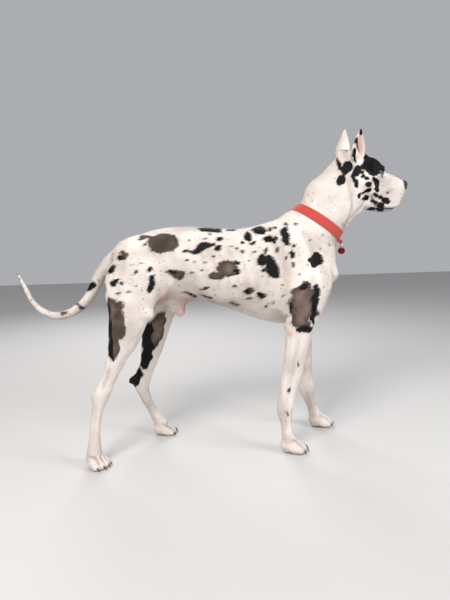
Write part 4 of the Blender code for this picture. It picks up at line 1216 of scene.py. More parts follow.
GREY_LEFT = {
    "flank": (-0.050, 0.700, 0.062, 0.040, 15),
    "flank_tail": (-0.120, 0.720, 0.030, 0.015, 0),
    "arm": (0.330, 0.560, 0.036, 0.060, 10),
    "mid_back": (0.010, 0.800, 0.040, 0.020, 0),
    "rump": (-0.270, 0.700, 0.038, 0.028, -25),
    "neck": (0.430, 1.010, 0.020, 0.024, 0),
    "thigh_back": (-0.350, 0.560, 0.020, 0.050, 10),
}
print("patches of the left side:", len(BLACK_LEFT), "black,", len(GREY_LEFT), "grey")

# %% [markdown]
# ### From patches to distances
#
# Before a point is measured it is carried a few millimetres along by slow waves, so that no patch keeps
# the even outline of its ellipse. A patch also has a depth, so that one on the near side doesn't print
# through to the far side.

# %% Measure each point against the patches
PATCH_OFF = -0.04
LEAST_REACH = 0.045
WAVES = 7


def waves(points, length, reach, seed):
    """A smooth random shift of each point."""
    draw = np.random.default_rng(seed)
    shift = np.zeros_like(points)
    for _ in range(WAVES):
        wave = draw.normal(size=3)
        wave *= tau / length / np.linalg.norm(wave) * draw.uniform(0.6, 1.7)
        shift += np.outer(np.sin(points @ wave + draw.uniform(0, tau)), draw.normal(size=3))
    return shift * reach / 2.6


def deepest(field, across, up, row, deep, scale):
    """Raises field where a point lies inside the ellipse. The distance is in metres."""
    _, _, half_across, half_up, tilt = row
    c, s = cos(radians(tilt)), sin(radians(tilt))
    a = (across * c + up * s) / half_across
    b = (-across * s + up * c) / half_up
    near = np.flatnonzero(a * a + b * b + deep * deep < 9)
    share = 1 - np.sqrt(a[near] ** 2 + b[near] ** 2 + deep[near] ** 2)
    field[near] = np.maximum(field[near], share * (half_across * half_up) ** 0.5 * scale)


seen_depth = {}
for name, row in {**BLACK_PATCHES, **GREY_PATCHES}.items():
    hit = through_photo(row[0], row[1])
    seen_depth[name] = float(seen_at(hit)[2][0]) if hit else None
missed = [name for name, depth in seen_depth.items() if depth is None]


def right_field(points, patches):
    field = np.full(len(points), PATCH_OFF)
    u, v, depth = seen_at(points)
    for name, row in patches.items():
        middle = seen_depth[name]
        if middle is None:
            continue
        scale = middle / FOCAL_PIXELS
        reach = max(LEAST_REACH, 1.5 * scale * max(row[2], row[3]))
        deepest(field, u - row[0], row[1] - v, row, (depth - middle) / reach, scale)
    return field


def left_field(points, patches):
    field = np.full(len(points), PATCH_OFF)
    for row in patches.values():
        hit = on_side(row[0], row[1], 1)
        middle = hit.y if hit else 0.1
        reach = max(LEAST_REACH, 1.5 * max(row[2], row[3]))
        deep = (points[:, 1] - middle) / reach
        deepest(field, points[:, 0] - row[0], points[:, 2] - row[1], row, deep, 1)
    return field


def coat_fields(points):
    """Signed distances, in metres, into the black and the grey patches."""
    fine = ease(head_places(points)[:, 0], -0.19, -0.13) * ease(points[:, 2], 0.84, 0.90)
    shifted = points + waves(points, 0.050, 0.0042, 3) * (1 - 0.55 * fine)[:, None]
    shifted += waves(points, 0.016, 0.0016, 4) * (1 - 0.3 * fine)[:, None]
    black = np.maximum(right_field(shifted, BLACK_PATCHES), left_field(shifted, BLACK_LEFT))
    grey = np.maximum(right_field(shifted, GREY_PATCHES), left_field(shifted, GREY_LEFT))
    return black, grey


black, grey = coat_fields(points)
shares = [round(float((field > 0).mean()), 3) for field in (black, grey)]
print("black and grey cover", shares, "missed", missed)

# %% [markdown]
# ## Bare skin
#
# The coat is thin where the hide folds on itself: in the groin, under the belly, inside the ear, on the
# callus of the elbow, and in a strip behind the thigh. Pink skin shows through there. The nose, the rims of
# the eyes and the lips are bare and black. Each is a soft mask on the points of the skin.

# %% Masks of bare skin
# Places in metres with a reach and a strength.
PINK_SPOTS = {
    "groin_right": (-0.215, -0.055, 0.600, 0.055, 0.75),
    "groin_left": (-0.200, 0.055, 0.600, 0.055, 0.75),
    "belly": (-0.110, 0.000, 0.560, 0.075, 0.65),
    "belly_front": (0.020, 0.000, 0.545, 0.075, 0.40),
    "sheath": (-0.150, 0.000, 0.535, 0.035, 0.60),
    "scrotum": (-0.305, 0.000, 0.550, 0.050, 0.85),
    "armpit_right": (0.262, -0.070, 0.520, 0.040, 0.45),
    "armpit_left": (0.310, 0.070, 0.520, 0.040, 0.45),
    "chin": (0.655, 0.035, 0.895, 0.022, 0.35),
}
# Pixels across and down, with a reach and a strength.
PINK_SEEN = {
    "elbow_callus": (*ELBOW, 0.011, 0.8),
    "thigh_back": (109, 312, 0.009, 0.8),
    "thigh_back_mid": (108, 325, 0.009, 0.7),
    "thigh_back_low": (108, 338, 0.009, 0.6),
}


def soft_spot(points, x, y, z, reach, strength):
    gap = np.linalg.norm(points - (x, y, z), axis=1)
    return strength * ease(gap, reach, 0.35 * reach)


def pink_at(points):
    pink = np.zeros(len(points))
    for row in PINK_SPOTS.values():
        pink = np.maximum(pink, soft_spot(points, *row))
    for u, v, reach, strength in PINK_SEEN.values():
        hit = through_photo(u, v)
        if hit:
            pink = np.maximum(pink, soft_spot(points, *hit, reach * 1.6, strength))
            pink = np.maximum(pink, soft_spot(points, hit.x, -hit.y, hit.z, reach * 1.6, 0.6 * strength))
    return pink


def nose_at(points):
    """1 on the bare nose, which is where the skin lies close to the nose's own forms."""
    local = head_places(points)
    nearest = np.full(len(points), 9.0)
    for name, (x, y, z, *half) in NOSE_MASSES.items():
        reach = np.array(half[:3]) + ((0.0050, 0.0120, 0.0040) if name != "under" else 0.0006)
        nearest = np.minimum(nearest, np.linalg.norm((local - (x, y, z)) / reach, axis=1))
    return ease(nearest, 1.10, 1.00) * ease(local[:, 0], NOSE_BACK - 0.0015, NOSE_BACK + 0.0010)


def cup_at(points, normals):
    """1 inside an ear's cup, where the skin is bare and pink."""
    local = head_places(points)
    cup = np.zeros(len(points))
    for side, (root, tip) in EARS.items():
        facing = ear_turn(side)
        face = np.array(HEAD.to_3x3()) @ (cos(facing), sin(facing), 0)
        share = (local[:, 2] - root[2]) / (tip[2] - root[2])
        middle = np.array(root[:2]) + np.outer(share, np.subtract(tip, root)[:2])
        sideways = np.linalg.norm(local[:, :2] - middle, axis=1)
        near = ease(sideways, 0.040, 0.030) * ease(share, 0.12, 0.24)
        cup = np.maximum(cup, near * ease(normals @ face, 0.05, 0.45))
    return cup


normals = normals_of(skin)
pink = pink_at(points)
nose = nose_at(points)
cup = cup_at(points, normals)
rim = ease(lid_edge, 0.0026, 0.0010)
lip = np.zeros(len(points))
LIP_FAR = 0.0062
LIP_NEAR = 0.0026
for side in (-1, 1):
    line = np.array([tuple(place) for place in smooth_path([on_head(x, z, side) for x, z in MOUTH_LINE])])
    for spot in line:
        gap = np.linalg.norm(points - spot, axis=1)
        lip = np.maximum(lip, ease(gap, LIP_FAR, LIP_NEAR))
print("bare points of pink, nose and ear:", [int((field > 0.4).sum()) for field in (pink, nose, cup)])

# %% [markdown]
# ### The lie of the coat
#
# Hair on a dog lies backwards along the trunk, down the neck and legs, back from the nose over the face,
# and up the ears. The tufts follow this direction. The material's streaks only need to know whether a point
# is on a leg, where they run down, or elsewhere, where they run along the body.

# %% Hair directions
TRUNK_WAY = np.array([-1.0, 0.0, -0.22])
LEG_WAY = np.array([0.75, 0, -1.2])
NECK_WAY = np.array([0.20, 0, -0.75])
FACE_WAY = np.array([-1.0, 0.0, -0.10])
EAR_WAY = np.array([-0.15, 0, 1.0])
# The middle that the tail bends round, as length and height.
TAIL_BEND = (-0.560, 0.700)


def up_neck(points):
    """How far up the neck a point lies, as a length along it."""
    return points[:, 0] * 0.8 + points[:, 2] * 0.55


def flow_at(points, normals):
    """The way the hair lies at each point, along the skin."""
    local = head_places(points)
    headness = head_share(points)
    flow = np.tile(TRUNK_WAY, (len(points), 1))
    low = ease(points[:, 2], 0.62, 0.50)
    flow += low[:, None] * LEG_WAY
    neck = ease(up_neck(points), 0.70, 0.84) * (1 - headness)
    flow += neck[:, None] * NECK_WAY
    on_tail = ease(points[:, 0], -0.395, -0.425) * ease(points[:, 2], 0.50, 0.52)
    bend = np.arctan2(points[:, 2] - TAIL_BEND[1], points[:, 0] - TAIL_BEND[0])
    tail_way = np.stack([np.sin(bend), np.zeros(len(points)), -np.cos(bend)], 1)
    flow = flow * (1 - on_tail)[:, None] + tail_way * on_tail[:, None]
    over_face = np.tile(FACE_WAY, (len(points), 1))
    over_face[:, 2] -= 1.1 * ease(local[:, 2], -0.060, -0.130)
    over_face[:, 1] += np.sign(local[:, 1]) * 0.4 * ease(local[:, 2], 0.00, -0.05)
    up_ear = ease(local[:, 2], 0.015, 0.035)[:, None]
    over_face = over_face * (1 - up_ear) + EAR_WAY * up_ear
    over_face = over_face @ np.array(HEAD.to_3x3()).T
    flow = flow * (1 - headness)[:, None] + over_face * headness[:, None]
    flow -= normals * np.einsum("ij,ij->i", flow, normals)[:, None]
    return flow / np.maximum(np.linalg.norm(flow, axis=1), 1e-6)[:, None]


def keep_number(mesh, name, values):
    layer = mesh.attributes.new(name, "FLOAT", "POINT")
    layer.data.foreach_set("value", np.ascontiguousarray(values, np.float32))


MARKS = ("black", "grey", "pink", "bare", "leg")


def keep_markings(mesh, *fields):
    """The material reads these numbers on the skin and on the tufts alike."""
    for name, values in zip(MARKS, fields):
        keep_number(mesh, name, values)


def leg_at(points):
    return np.maximum(ease(points[:, 2], 0.60, 0.46), 0) * ease(points[:, 0], -0.49, -0.47)


dark_bare = np.clip(np.maximum(nose, np.maximum(rim, 0.85 * lip)), 0, 1)
keep_markings(skin, black, grey, np.maximum(pink, 0.55 * cup), dark_bare, leg_at(points))
print("kept on the skin:", [layer.name for layer in skin.attributes if layer.data_type == "FLOAT"])

# %% [markdown]
# ## The coat's material
#
# One material serves the skin and the tufts, so no tuft can differ from the skin it grows from. Noise as
# fine as a few hairs shifts the edge of each patch, which tears it as real hair does. The white is never
# quite white: it is warm, with pink where the skin is near and grey ticks from hairs of both colours. The
# short flat hair itself is a bump of fine streaks. A photograph of fur would be easier, but it brings its
# own light and seams.

# %% Node helpers
class Nodes:
    """Short ways to add and join shader nodes."""

    def __init__(self, name):
        self.material = bpy.data.materials.new(name)
        self.material.use_nodes = True
        self.tree = self.material.node_tree
        self.shader = self.tree.nodes["Principled BSDF"]

    def join(self, out, into):
        self.tree.links.new(out, into)

    def attribute(self, name):
        node = self.tree.nodes.new("ShaderNodeAttribute")
        node.attribute_name = name
        return node.outputs["Fac"]

    def put(self, socket, value):
        if isinstance(value, (int, float)):
            socket.default_value = value
        elif isinstance(value, tuple):
            socket.default_value = (*value, 1) if len(value) == 3 and socket.type == "RGBA" else value
        else:
            self.join(value, socket)

    def give(self, name, value):
        """A finished value, or a number, for the surface itself."""
        self.put(self.shader.inputs[name], value)

    def math(self, operation, one, two=0.0):
        node = self.tree.nodes.new("ShaderNodeMath")
        node.operation = operation
        for socket, value in zip(node.inputs, (one, two)):
            self.put(socket, value)
        return node.outputs[0]

    def times(self, one, two):
        return self.math("MULTIPLY", one, two)

    def plus(self, one, two):
        return self.math("ADD", one, two)

    def minus(self, one, two):
        return self.math("SUBTRACT", one, two)

    def ramp(self, value, low, high):
        """A smooth step from 0 at low to 1 at high."""
        node = self.tree.nodes.new("ShaderNodeMapRange")
        node.interpolation_type = "SMOOTHSTEP"
        self.put(node.inputs["Value"], value)
        node.inputs["From Min"].default_value = low
        node.inputs["From Max"].default_value = high
        return node.outputs["Result"]

    def mix(self, share, one, two):
        node = self.tree.nodes.new("ShaderNodeMix")
        node.data_type = "RGBA"
        self.put(node.inputs[0], share)
        self.put(node.inputs[6], one)
        self.put(node.inputs[7], two)
        return node.outputs[2]

    def place(self, stretch=(1, 1, 1)):
        where = self.tree.nodes.new("ShaderNodeTexCoord").outputs["Object"]
        return self.texture("ShaderNodeMapping", where, Scale=stretch).outputs["Vector"]

    def texture(self, kind, where, **settings):
        """A texture at a place, with its named settings."""
        node = self.tree.nodes.new(kind)
        for name, value in settings.items():
            node.inputs[name].default_value = value
        self.join(where, node.inputs["Vector"])
        return node

    def noise(self, where, scale, detail, roughness):
        node = self.texture("ShaderNodeTexNoise", where, Scale=scale, Detail=detail, Roughness=roughness)
        return node.outputs["Fac"]

    def cells(self, where, scale):
        return self.texture("ShaderNodeTexVoronoi", where, Scale=scale)

    def bump(self, height, distance, strength, under=None):
        node = self.tree.nodes.new("ShaderNodeBump")
        node.inputs["Distance"].default_value = distance
        node.inputs["Strength"].default_value = strength
        self.join(height, node.inputs["Height"])
        if under is not None:
            self.join(under, node.inputs["Normal"])
        return node.outputs["Normal"]


print("node helpers ready")

# %% Coat material
WHITE = (0.800, 0.735, 0.685)
WHITE_SHADE = (0.610, 0.535, 0.485)
INK = (0.006, 0.006, 0.007)
INK_BROWN = (0.018, 0.012, 0.010)
GREY = (0.190, 0.128, 0.098)
GREY_BROWN = (0.046, 0.029, 0.023)
TICK = (0.190, 0.160, 0.150)
PINK = (0.640, 0.360, 0.300)
NOSE_BLACK = (0.010, 0.009, 0.010)
HAIR_STRETCH = 5.0
HAIR_SCALE = 230
TORN_SCALE = 95
# How far streaks and noise shift the edge of a patch, in metres.
STREAK_TEAR = 0.0060
RAGGED_TEAR = 0.0085


def coat_material():
    n = Nodes("harlequin_coat")
    here = n.place()
    along_body = n.place((1.0, HAIR_STRETCH, HAIR_STRETCH))
    along_leg = n.place((HAIR_STRETCH, HAIR_STRETCH, 1.0))
    leg = n.attribute("leg")
    body_streak = n.noise(along_body, HAIR_SCALE, 2.0, 0.6)
    leg_streak = n.noise(along_leg, HAIR_SCALE, 2.0, 0.6)
    streak = n.plus(n.times(body_streak, n.minus(1.0, leg)), n.times(leg_streak, leg))
    ragged = n.noise(here, TORN_SCALE, 3.0, 0.65)
    tear = n.plus(n.times(n.minus(streak, 0.5), STREAK_TEAR), n.times(n.minus(ragged, 0.5), RAGGED_TEAR))

    black = n.ramp(n.plus(n.attribute("black"), tear), -0.0004, 0.0009)
    grey = n.ramp(n.plus(n.attribute("grey"), n.times(tear, 1.3)), -0.0010, 0.0030)

    def ticks(scale, share, size):
        """Small spots, one in a share of the cells."""
        cells = n.cells(here, scale)
        chosen = n.math("LESS_THAN", cells.outputs["Color"], share)
        apart = n.plus(cells.outputs["Distance"], n.times(n.minus(ragged, 0.5), 0.30))
        return n.times(n.ramp(apart, size, size * 0.55), chosen)

    body_only = n.minus(1.0, n.times(leg, 0.85))
    tick = n.times(n.math("MAXIMUM", ticks(36, 0.42, 0.20), ticks(80, 0.44, 0.26)), body_only)

    mottle = n.noise(here, 9, 3.0, 0.55)
    mottle_fine = n.noise(here, 42, 2.0, 0.6)
    white = n.mix(n.ramp(mottle, 0.35, 0.72), WHITE, WHITE_SHADE)
    white = n.mix(n.times(n.ramp(streak, 0.40, 0.75), 0.16), white, WHITE_SHADE)
    skin_near = n.times(n.attribute("pink"), n.plus(0.75, n.times(mottle_fine, 0.45)))
    white = n.mix(skin_near, white, PINK)
    white = n.mix(n.times(tick, 0.55), white, TICK)

    near_edge = n.ramp(n.attribute("grey"), 0.030, 0.006)
    brown = n.mix(n.math("MAXIMUM", n.ramp(mottle, 0.40, 0.60), near_edge), GREY, GREY_BROWN)
    brown = n.mix(n.times(n.ramp(mottle_fine, 0.45, 0.70), 0.45), brown, GREY_BROWN)
    brown = n.mix(n.times(n.ramp(streak, 0.48, 0.72), 0.20), brown, GREY)
    ink = n.mix(n.ramp(mottle_fine, 0.50, 0.80), INK, INK_BROWN)
    colour = n.mix(n.times(grey, 0.96), white, brown)
    colour = n.mix(black, colour, ink)
    bare = n.attribute("bare")
    colour = n.mix(bare, colour, NOSE_BLACK)
    n.give("Base Color", colour)

    shine = n.mix(black, (0.62, 0.62, 0.62), (0.50, 0.50, 0.50))
    shine = n.mix(bare, shine, (0.34, 0.34, 0.34))
    n.give("Roughness", shine)
    n.give("Specular IOR Level", n.mix(bare, (0.13, 0.13, 0.13), (0.55, 0.55, 0.55)))

    pebbles = n.cells(here, 620).outputs["Distance"]
    hair = n.times(streak, n.minus(1.0, bare))
    leather = n.times(pebbles, n.times(bare, -1.0))
    fine = n.bump(n.plus(hair, leather), 0.0011, 0.75)
    rolled = n.bump(n.noise(here, 26, 2.0, 0.5), 0.0032, 0.35, fine)
    n.give("Normal", rolled)
    return n.material


coat = coat_material()
skin_piece = show("skin", skin, coat)
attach(skin_piece, "root")
FLESH = [name for name in frame["nodes"] if not name.startswith(("eye_", "collar", "tag_"))]
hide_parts(*FLESH)
print("the skin replaces", len(FLESH), "solids")

# %% [markdown]
# ## Eyes
#
# An eye is a ball whose front bulges a little, as the cornea does. Pupil, iris and white are coloured by the
# angle from its axis, and a clear coat over them catches the lamps. An evenly dark ball would look blind.

# %% Eyes
IRIS_ANGLE = 34
PUPIL_ANGLE = 15
CORNEA = 0.0009


def ball_mesh(name, radius, place, stretch):
    shape = bmesh.new()
    forward = Matrix.Rotation(pi / 2, 4, "Y")
    bmesh.ops.create_uvsphere(shape, u_segments=48, v_segments=40, radius=radius, matrix=forward)
    for vert in shape.verts:
        ahead = max(vert.co.x / radius, 0)
        vert.co.x += stretch * float(ease(ahead, 0.72, 1.0))
        vert.co = place @ vert.co
    mesh = bpy.data.meshes.new(name)
    shape.to_mesh(mesh)
    shape.free()
    mesh.polygons.foreach_set("use_smooth", np.ones(len(mesh.polygons), bool))
    return mesh


def eye_material():
    n = Nodes("dark_brown_eye")
    angle = n.attribute("angle")
    around = n.noise(n.place(), 900, 2.0, 0.6)
    rings = n.plus(angle, n.times(n.minus(around, 0.5), 6.0))
    iris = n.mix(n.ramp(rings, PUPIL_ANGLE, IRIS_ANGLE), (0.150, 0.060, 0.018), (0.045, 0.018, 0.008))
    colour = n.mix(n.ramp(angle, PUPIL_ANGLE - 0.8, PUPIL_ANGLE + 0.8), (0.003, 0.003, 0.003), iris)
    colour = n.mix(n.ramp(angle, IRIS_ANGLE - 1.0, IRIS_ANGLE + 2.5), colour, (0.16, 0.11, 0.095))
    colour = n.mix(n.ramp(angle, IRIS_ANGLE + 8.0, IRIS_ANGLE + 30.0), colour, (0.10, 0.035, 0.030))
    n.give("Base Color", colour)
    n.give("Roughness", 0.12)
    n.give("Coat Weight", 1.0)
    n.give("Coat Roughness", 0.02)
    return n.material


eye_skin = eye_material()
for side in EYES:
    place = eye_place(side)
    mesh = ball_mesh("eye_" + side, EYE_RADIUS, place, CORNEA)
    toward = (points_of(mesh) - np.array(place.translation)) @ np.array(place)[:3, 0]
    far = np.linalg.norm(points_of(mesh) - np.array(place.translation), axis=1)
    keep_number(mesh, "angle", np.degrees(np.arccos(np.clip(toward / far, -1, 1))))
    ball = show("eyeball_" + side, mesh, eye_skin)
    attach(ball, "root")
    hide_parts("eye_" + side)
print("eyes:", [round(c, 3) for c in eye_place("right").translation])

# %% [markdown]
# ## Claws
#
# Four black claws to a paw, short and blunt as on a big dog that walks on hard ground. Each is a bent cone
# whose root is buried in the toe.

# %% Claws
CLAW_LENGTH = 0.017
CLAW_RADIUS = 0.0042
CLAW_SIDES = 16
CLAW_START = 0.0125
CLAW_SPREAD = 1.14
CLAW_DROP = 0.013
# Share of the length, and of the radius there.
CLAW_RINGS = ((-0.25, 0.95), (0.0, 1.0), (0.20, 0.98), (0.45, 0.85),
              (0.65, 0.68), (0.80, 0.50), (0.93, 0.30), (1.0, 0.14))


def claw_form(paw, toe):
    y, reach, _, tall = toe
    angle = np.arange(CLAW_SIDES) * tau / CLAW_SIDES
    rings = []
    for share, size in CLAW_RINGS:
        drop = CLAW_DROP * max(share, 0) ** 1.7
        middle = np.array([reach + CLAW_START + CLAW_LENGTH * share, y * CLAW_SPREAD, tall * 1.02 - drop])
        radius = CLAW_RADIUS * size * 0.92
        up = np.array([0.5 * max(share, 0), 0, 1.0])
        rings.append(middle + radius * (np.outer(np.cos(angle), (0, 0.86, 0)) + np.outer(np.sin(angle), up)))
    points, faces = loft(rings)
    return moved(points, paw_place(paw)), [face[::-1] for face in faces]


def claw_material():
    n = Nodes("black_claw")
    grain = n.noise(n.place((1, 6, 1)), 500, 2.0, 0.5)
    n.give("Base Color", n.mix(grain, (0.018, 0.015, 0.014), (0.050, 0.040, 0.034)))
    n.give("Roughness", 0.36)
    n.give("Normal", n.bump(grain, 0.0003, 0.4))
    return n.material


claw_mesh = mesh_of("claws", *gathered([claw_form(paw, toe) for paw in PAWS for toe in TOES]))
claws = show("claws", claw_mesh, claw_material())
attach(claws, "root")
print("claws:", len(PAWS) * len(TOES))

# %% [markdown]
# ## The collar
#
# A flat band of coral nylon webbing, a little wider than three centimetres, lies on the skin. For each
# step round the neck we look for the skin from outside, so the band follows the neck as a real one does,
# and give its section rounded edges. A second strip, the stitched overlap where the webbing is folded
# back, holds the ring.

# %% Collar band
COLLAR_WIDTH = 0.036
COLLAR_THICKNESS = 0.0032
COLLAR_CLEARANCE = 0.0006
COLLAR_STEPS = 144
EDGE_STEPS = 5
BAND_EDGE = 0.0013

neck_tree = tree_of(points, skin_faces)


def neck_reach(angle, along):
    """Distance from the collar's axis to the skin."""
    way = Vector((0, sin(angle), cos(angle)))
    start = COLLAR @ (Vector((along, 0, 0)) + way * 0.3)
    hit = neck_tree.ray_cast(start, -(COLLAR.to_3x3() @ way))[0]
    local = COLLAR.inverted() @ hit
    return (local.y**2 + local.z**2) ** 0.5


band_angles = np.arange(COLLAR_STEPS) * tau / COLLAR_STEPS
near_edge = np.array([neck_reach(a, -0.45 * COLLAR_WIDTH) for a in band_angles])
far_edge = np.array([neck_reach(a, 0.45 * COLLAR_WIDTH) for a in band_angles])
mid_edge = np.array([neck_reach(a, 0.0) for a in band_angles])
slope = (far_edge - near_edge) / (0.9 * COLLAR_WIDTH)
belly = np.maximum.reduce([mid_edge, (near_edge + far_edge) / 2])
for _ in range(6):
    slope = (np.roll(slope, 1) + 2 * slope + np.roll(slope, -1)) / 4
    belly = np.maximum(belly, (np.roll(belly, 1) + 2 * belly + np.roll(belly, -1)) / 4)


def band_section():
    """Half a rounded strip: share across the width from -0.5 to 0.5, and share of the thickness."""
    section = []
    for corner_x, corner_y, start in ((0.5, 1, 90), (0.5, 0, 0), (-0.5, 0, -90), (-0.5, 1, -180)):
        for step in range(EDGE_STEPS):
            turn = radians(start - 90 * step / (EDGE_STEPS - 1))
            section.append((corner_x, corner_y, cos(turn), sin(turn)))
    return section


def band_ring(angle, reach, lean, low, width, thickness, edge):
    """One section of the band in the room's frame."""
    ring = []
    for corner_x, corner_y, c, s in band_section():
        along = corner_x * width - np.sign(corner_x) * edge + edge * c
        out = low + (thickness - edge if corner_y else edge) + edge * s
        radius = reach + lean * along + out
        ring.append(tuple(COLLAR @ Vector((along, radius * sin(angle), radius * cos(angle)))))
    return ring


def closed_band(rings):
    rings = np.array(rings)
    count, around = rings.shape[:2]
    faces = []
    for i in range(count):
        k = (i + 1) % count
        for j in range(around):
            m = (j + 1) % around
            faces.append((i * around + j, i * around + m, k * around + m, k * around + j))
    return rings.reshape(-1, 3), faces


rings = [
    band_ring(a, r, m, COLLAR_CLEARANCE, COLLAR_WIDTH, COLLAR_THICKNESS, BAND_EDGE)
    for a, r, m in zip(band_angles, belly, slope)
]
band_points, band_faces = closed_band(rings)
print("collar girth:", round(float(tau * belly.mean()), 3), "m")

# %% [markdown]
# The webbing is woven: fine ribs run along it, crossed by the weft, and a line of stitches follows each
# edge. The weave is bumped, and its dips are also painted a darker coral as painted shade. All three are
# worked out from the place round the neck and across the band, which are kept on its points.

# %% Collar pieces
CORAL = (0.500, 0.038, 0.022)
CORAL_DARK = (0.360, 0.022, 0.014)
THREAD = (0.640, 0.085, 0.050)
STITCH_INSET = 0.0032
STITCH_LENGTH = 0.0036


def webbing_material():
    n = Nodes("coral_webbing")
    around = n.attribute("around")
    across = n.attribute("across")
    ribs = n.math("SINE", n.times(across, 2600.0))
    weft = n.math("SINE", n.plus(n.times(around, 3100.0), n.times(n.math("SIGN", ribs), 1.5)))
    weave = n.plus(n.times(n.times(ribs, weft), 0.5), 0.5)
    worn = n.noise(n.place(), 60, 3.0, 0.6)
    # Painted shade: the colour darkens where the weave dips, in the same places where the bump below sinks.
    colour = n.mix(weave, CORAL_DARK, CORAL)
    colour = n.mix(n.times(n.ramp(worn, 0.45, 0.75), 0.30), colour, CORAL_DARK)
    from_edge = n.minus(COLLAR_WIDTH / 2 - STITCH_INSET, n.math("ABSOLUTE", across))
    row = n.ramp(n.math("ABSOLUTE", from_edge), 0.0006, 0.0003)
    stitch = n.times(row, n.ramp(n.math("SINE", n.times(around, tau / STITCH_LENGTH)), -0.55, -0.25))
    colour = n.mix(stitch, colour, THREAD)
    n.give("Base Color", colour)
    n.give("Roughness", 0.68)
    n.give("Sheen Weight", 0.15)
    height = n.plus(weave, n.times(stitch, 1.6))
    n.give("Normal", n.bump(height, 0.0004, 0.8))
    return n.material


def collar_places(points):
    """Points in the collar's frame, whose x runs across the band."""
    return (points - np.array(COLLAR_MIDDLE)) @ np.array(COLLAR)[:3, :3]


def keep_band_places(mesh):
    local = collar_places(points_of(mesh))
    keep_number(mesh, "across", local[:, 0])
    keep_number(mesh, "around", np.arctan2(local[:, 1], local[:, 2]) * float(belly.mean()))


webbing = webbing_material()
band_mesh = mesh_from("collar_band", band_points, band_faces)
keep_band_places(band_mesh)
collar = show("collar_band", band_mesh, webbing)
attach(collar, "root")
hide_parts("collar")

# The overlap: a second layer from the throat up the right side, closed by two rows of stitches.
OVERLAP_FROM = 196
OVERLAP_TO = 238
LAP_WIDTH = COLLAR_WIDTH - 0.0008
inner = [i for i in range(COLLAR_STEPS) if OVERLAP_FROM <= np.degrees(band_angles[i]) <= OVERLAP_TO]
lap_rings = []
for i in inner:
    end = min(i - inner[0], inner[-1] - i)
    rise = COLLAR_CLEARANCE + COLLAR_THICKNESS - 0.0010 * (end == 0)
    lap_rings.append(band_ring(band_angles[i], belly[i], slope[i], rise, LAP_WIDTH, 0.0024, 0.0010))
lap_mesh = mesh_of("collar_lap", *loft(lap_rings))
keep_band_places(lap_mesh)
lap = show("collar_lap", lap_mesh, webbing)
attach(lap, "root")
print("collar of", COLLAR_STEPS, "steps with an overlap of", len(inner))

# %% [markdown]
# ## Ring and tags
#
# A short webbing tab under the throat carries a nickel-plated ring, and two blank round tags hang on it: a
# dark red one and a brass-coloured one. Tags are stamped discs, so their edges are rounded and their eyes
# are drilled.

# %% Ring, tab and tags
TAB = Vector((0.0125, 0.0080, 0.0190))
TAB_PLACE = -0.0115
TAB_DROP = 0.0085
RING_RADIUS = 0.0115
RING_WIRE = 0.0019
RING_STEPS = 64
RING_SIDES = 18
TAG_RADIUS = 0.0130
TAG_THICKNESS = 0.0016
TAG_EYE = 0.0022
TAG_MARGIN = 0.0016
TAG_STEPS = 72


def ring_of(place, radius, wire):
    angle = np.arange(RING_SIDES) * tau / RING_SIDES
    rings = []
    for turn in np.arange(RING_STEPS) * tau / RING_STEPS:
        middle = np.array([0, cos(turn), sin(turn)]) * radius
        outward = np.outer(np.cos(angle) * wire, (0, cos(turn), sin(turn)))
        rings.append(middle + outward + np.outer(np.sin(angle) * wire, (1, 0, 0)))
    points, faces = closed_band(rings)
    return moved(points, place), faces


def disc_of(place, radius, thick, eye):
    """A blank tag in its XZ plane, with a drilled eye near the top."""
    shape = bmesh.new()
    turns = np.arange(TAG_STEPS) * tau / TAG_STEPS

    def circle(size, y, up):
        return [shape.verts.new((size * cos(t), thick * y, up + size * sin(t))) for t in turns]

    front, back = [circle(radius, y, 0) for y in (-0.5, 0.5)]
    eye_front, eye_back = [circle(eye, y, radius - eye - TAG_MARGIN) for y in (-0.5, 0.5)]
    for i in range(TAG_STEPS):
        j = (i + 1) % TAG_STEPS
        shape.faces.new((front[i], front[j], back[j], back[i]))
        shape.faces.new((eye_front[j], eye_front[i], eye_back[i], eye_back[j]))
        shape.faces.new((front[j], front[i], eye_front[i], eye_front[j]))
        shape.faces.new((back[i], back[j], eye_back[j], eye_back[i]))
    bmesh.ops.recalc_face_normals(shape, faces=shape.faces)
    mesh = bpy.data.meshes.new("disc")
    shape.to_mesh(mesh)
    shape.free()
    mesh.transform(place)
    return mesh


def metal(name, colour, roughness, wear):
    n = Nodes(name)
    scuffs = n.noise(n.place((1, 1, 7)), 700, 3.0, 0.7)
    patina = n.noise(n.place(), 160, 3.0, 0.6)
    tarnished = tuple(c * 0.45 for c in colour)
    n.give("Base Color", n.mix(n.times(n.ramp(patina, 0.40, 0.75), wear), colour, tarnished))
    rough = n.plus(roughness, n.times(scuffs, 0.16))
    n.give("Roughness", rough)
    n.give("Metallic", 1.0)
    n.give("Normal", n.bump(scuffs, 0.0001, 0.3))
    return n.material


def enamel(name, colour):
    n = Nodes(name)
    patina = n.noise(n.place(), 300, 3.0, 0.6)
    dull = tuple(c * 0.6 for c in colour)
    n.give("Base Color", n.mix(n.ramp(patina, 0.35, 0.75), colour, dull))
    n.give("Roughness", 0.28)
    n.give("Metallic", 0.55)
    return n.material


ring_low, ring_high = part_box("collar_ring")
ring_middle = (Vector(ring_low) + Vector(ring_high)) / 2
ring_points, ring_faces = ring_of(Matrix.Translation(ring_middle), RING_RADIUS, RING_WIRE)
nickel = metal("nickel", (0.66, 0.64, 0.60), 0.20, 0.3)
ring_piece = show("nickel_ring", mesh_from("nickel_ring", ring_points, ring_faces), nickel)
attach(ring_piece, "root")
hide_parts("collar_ring")

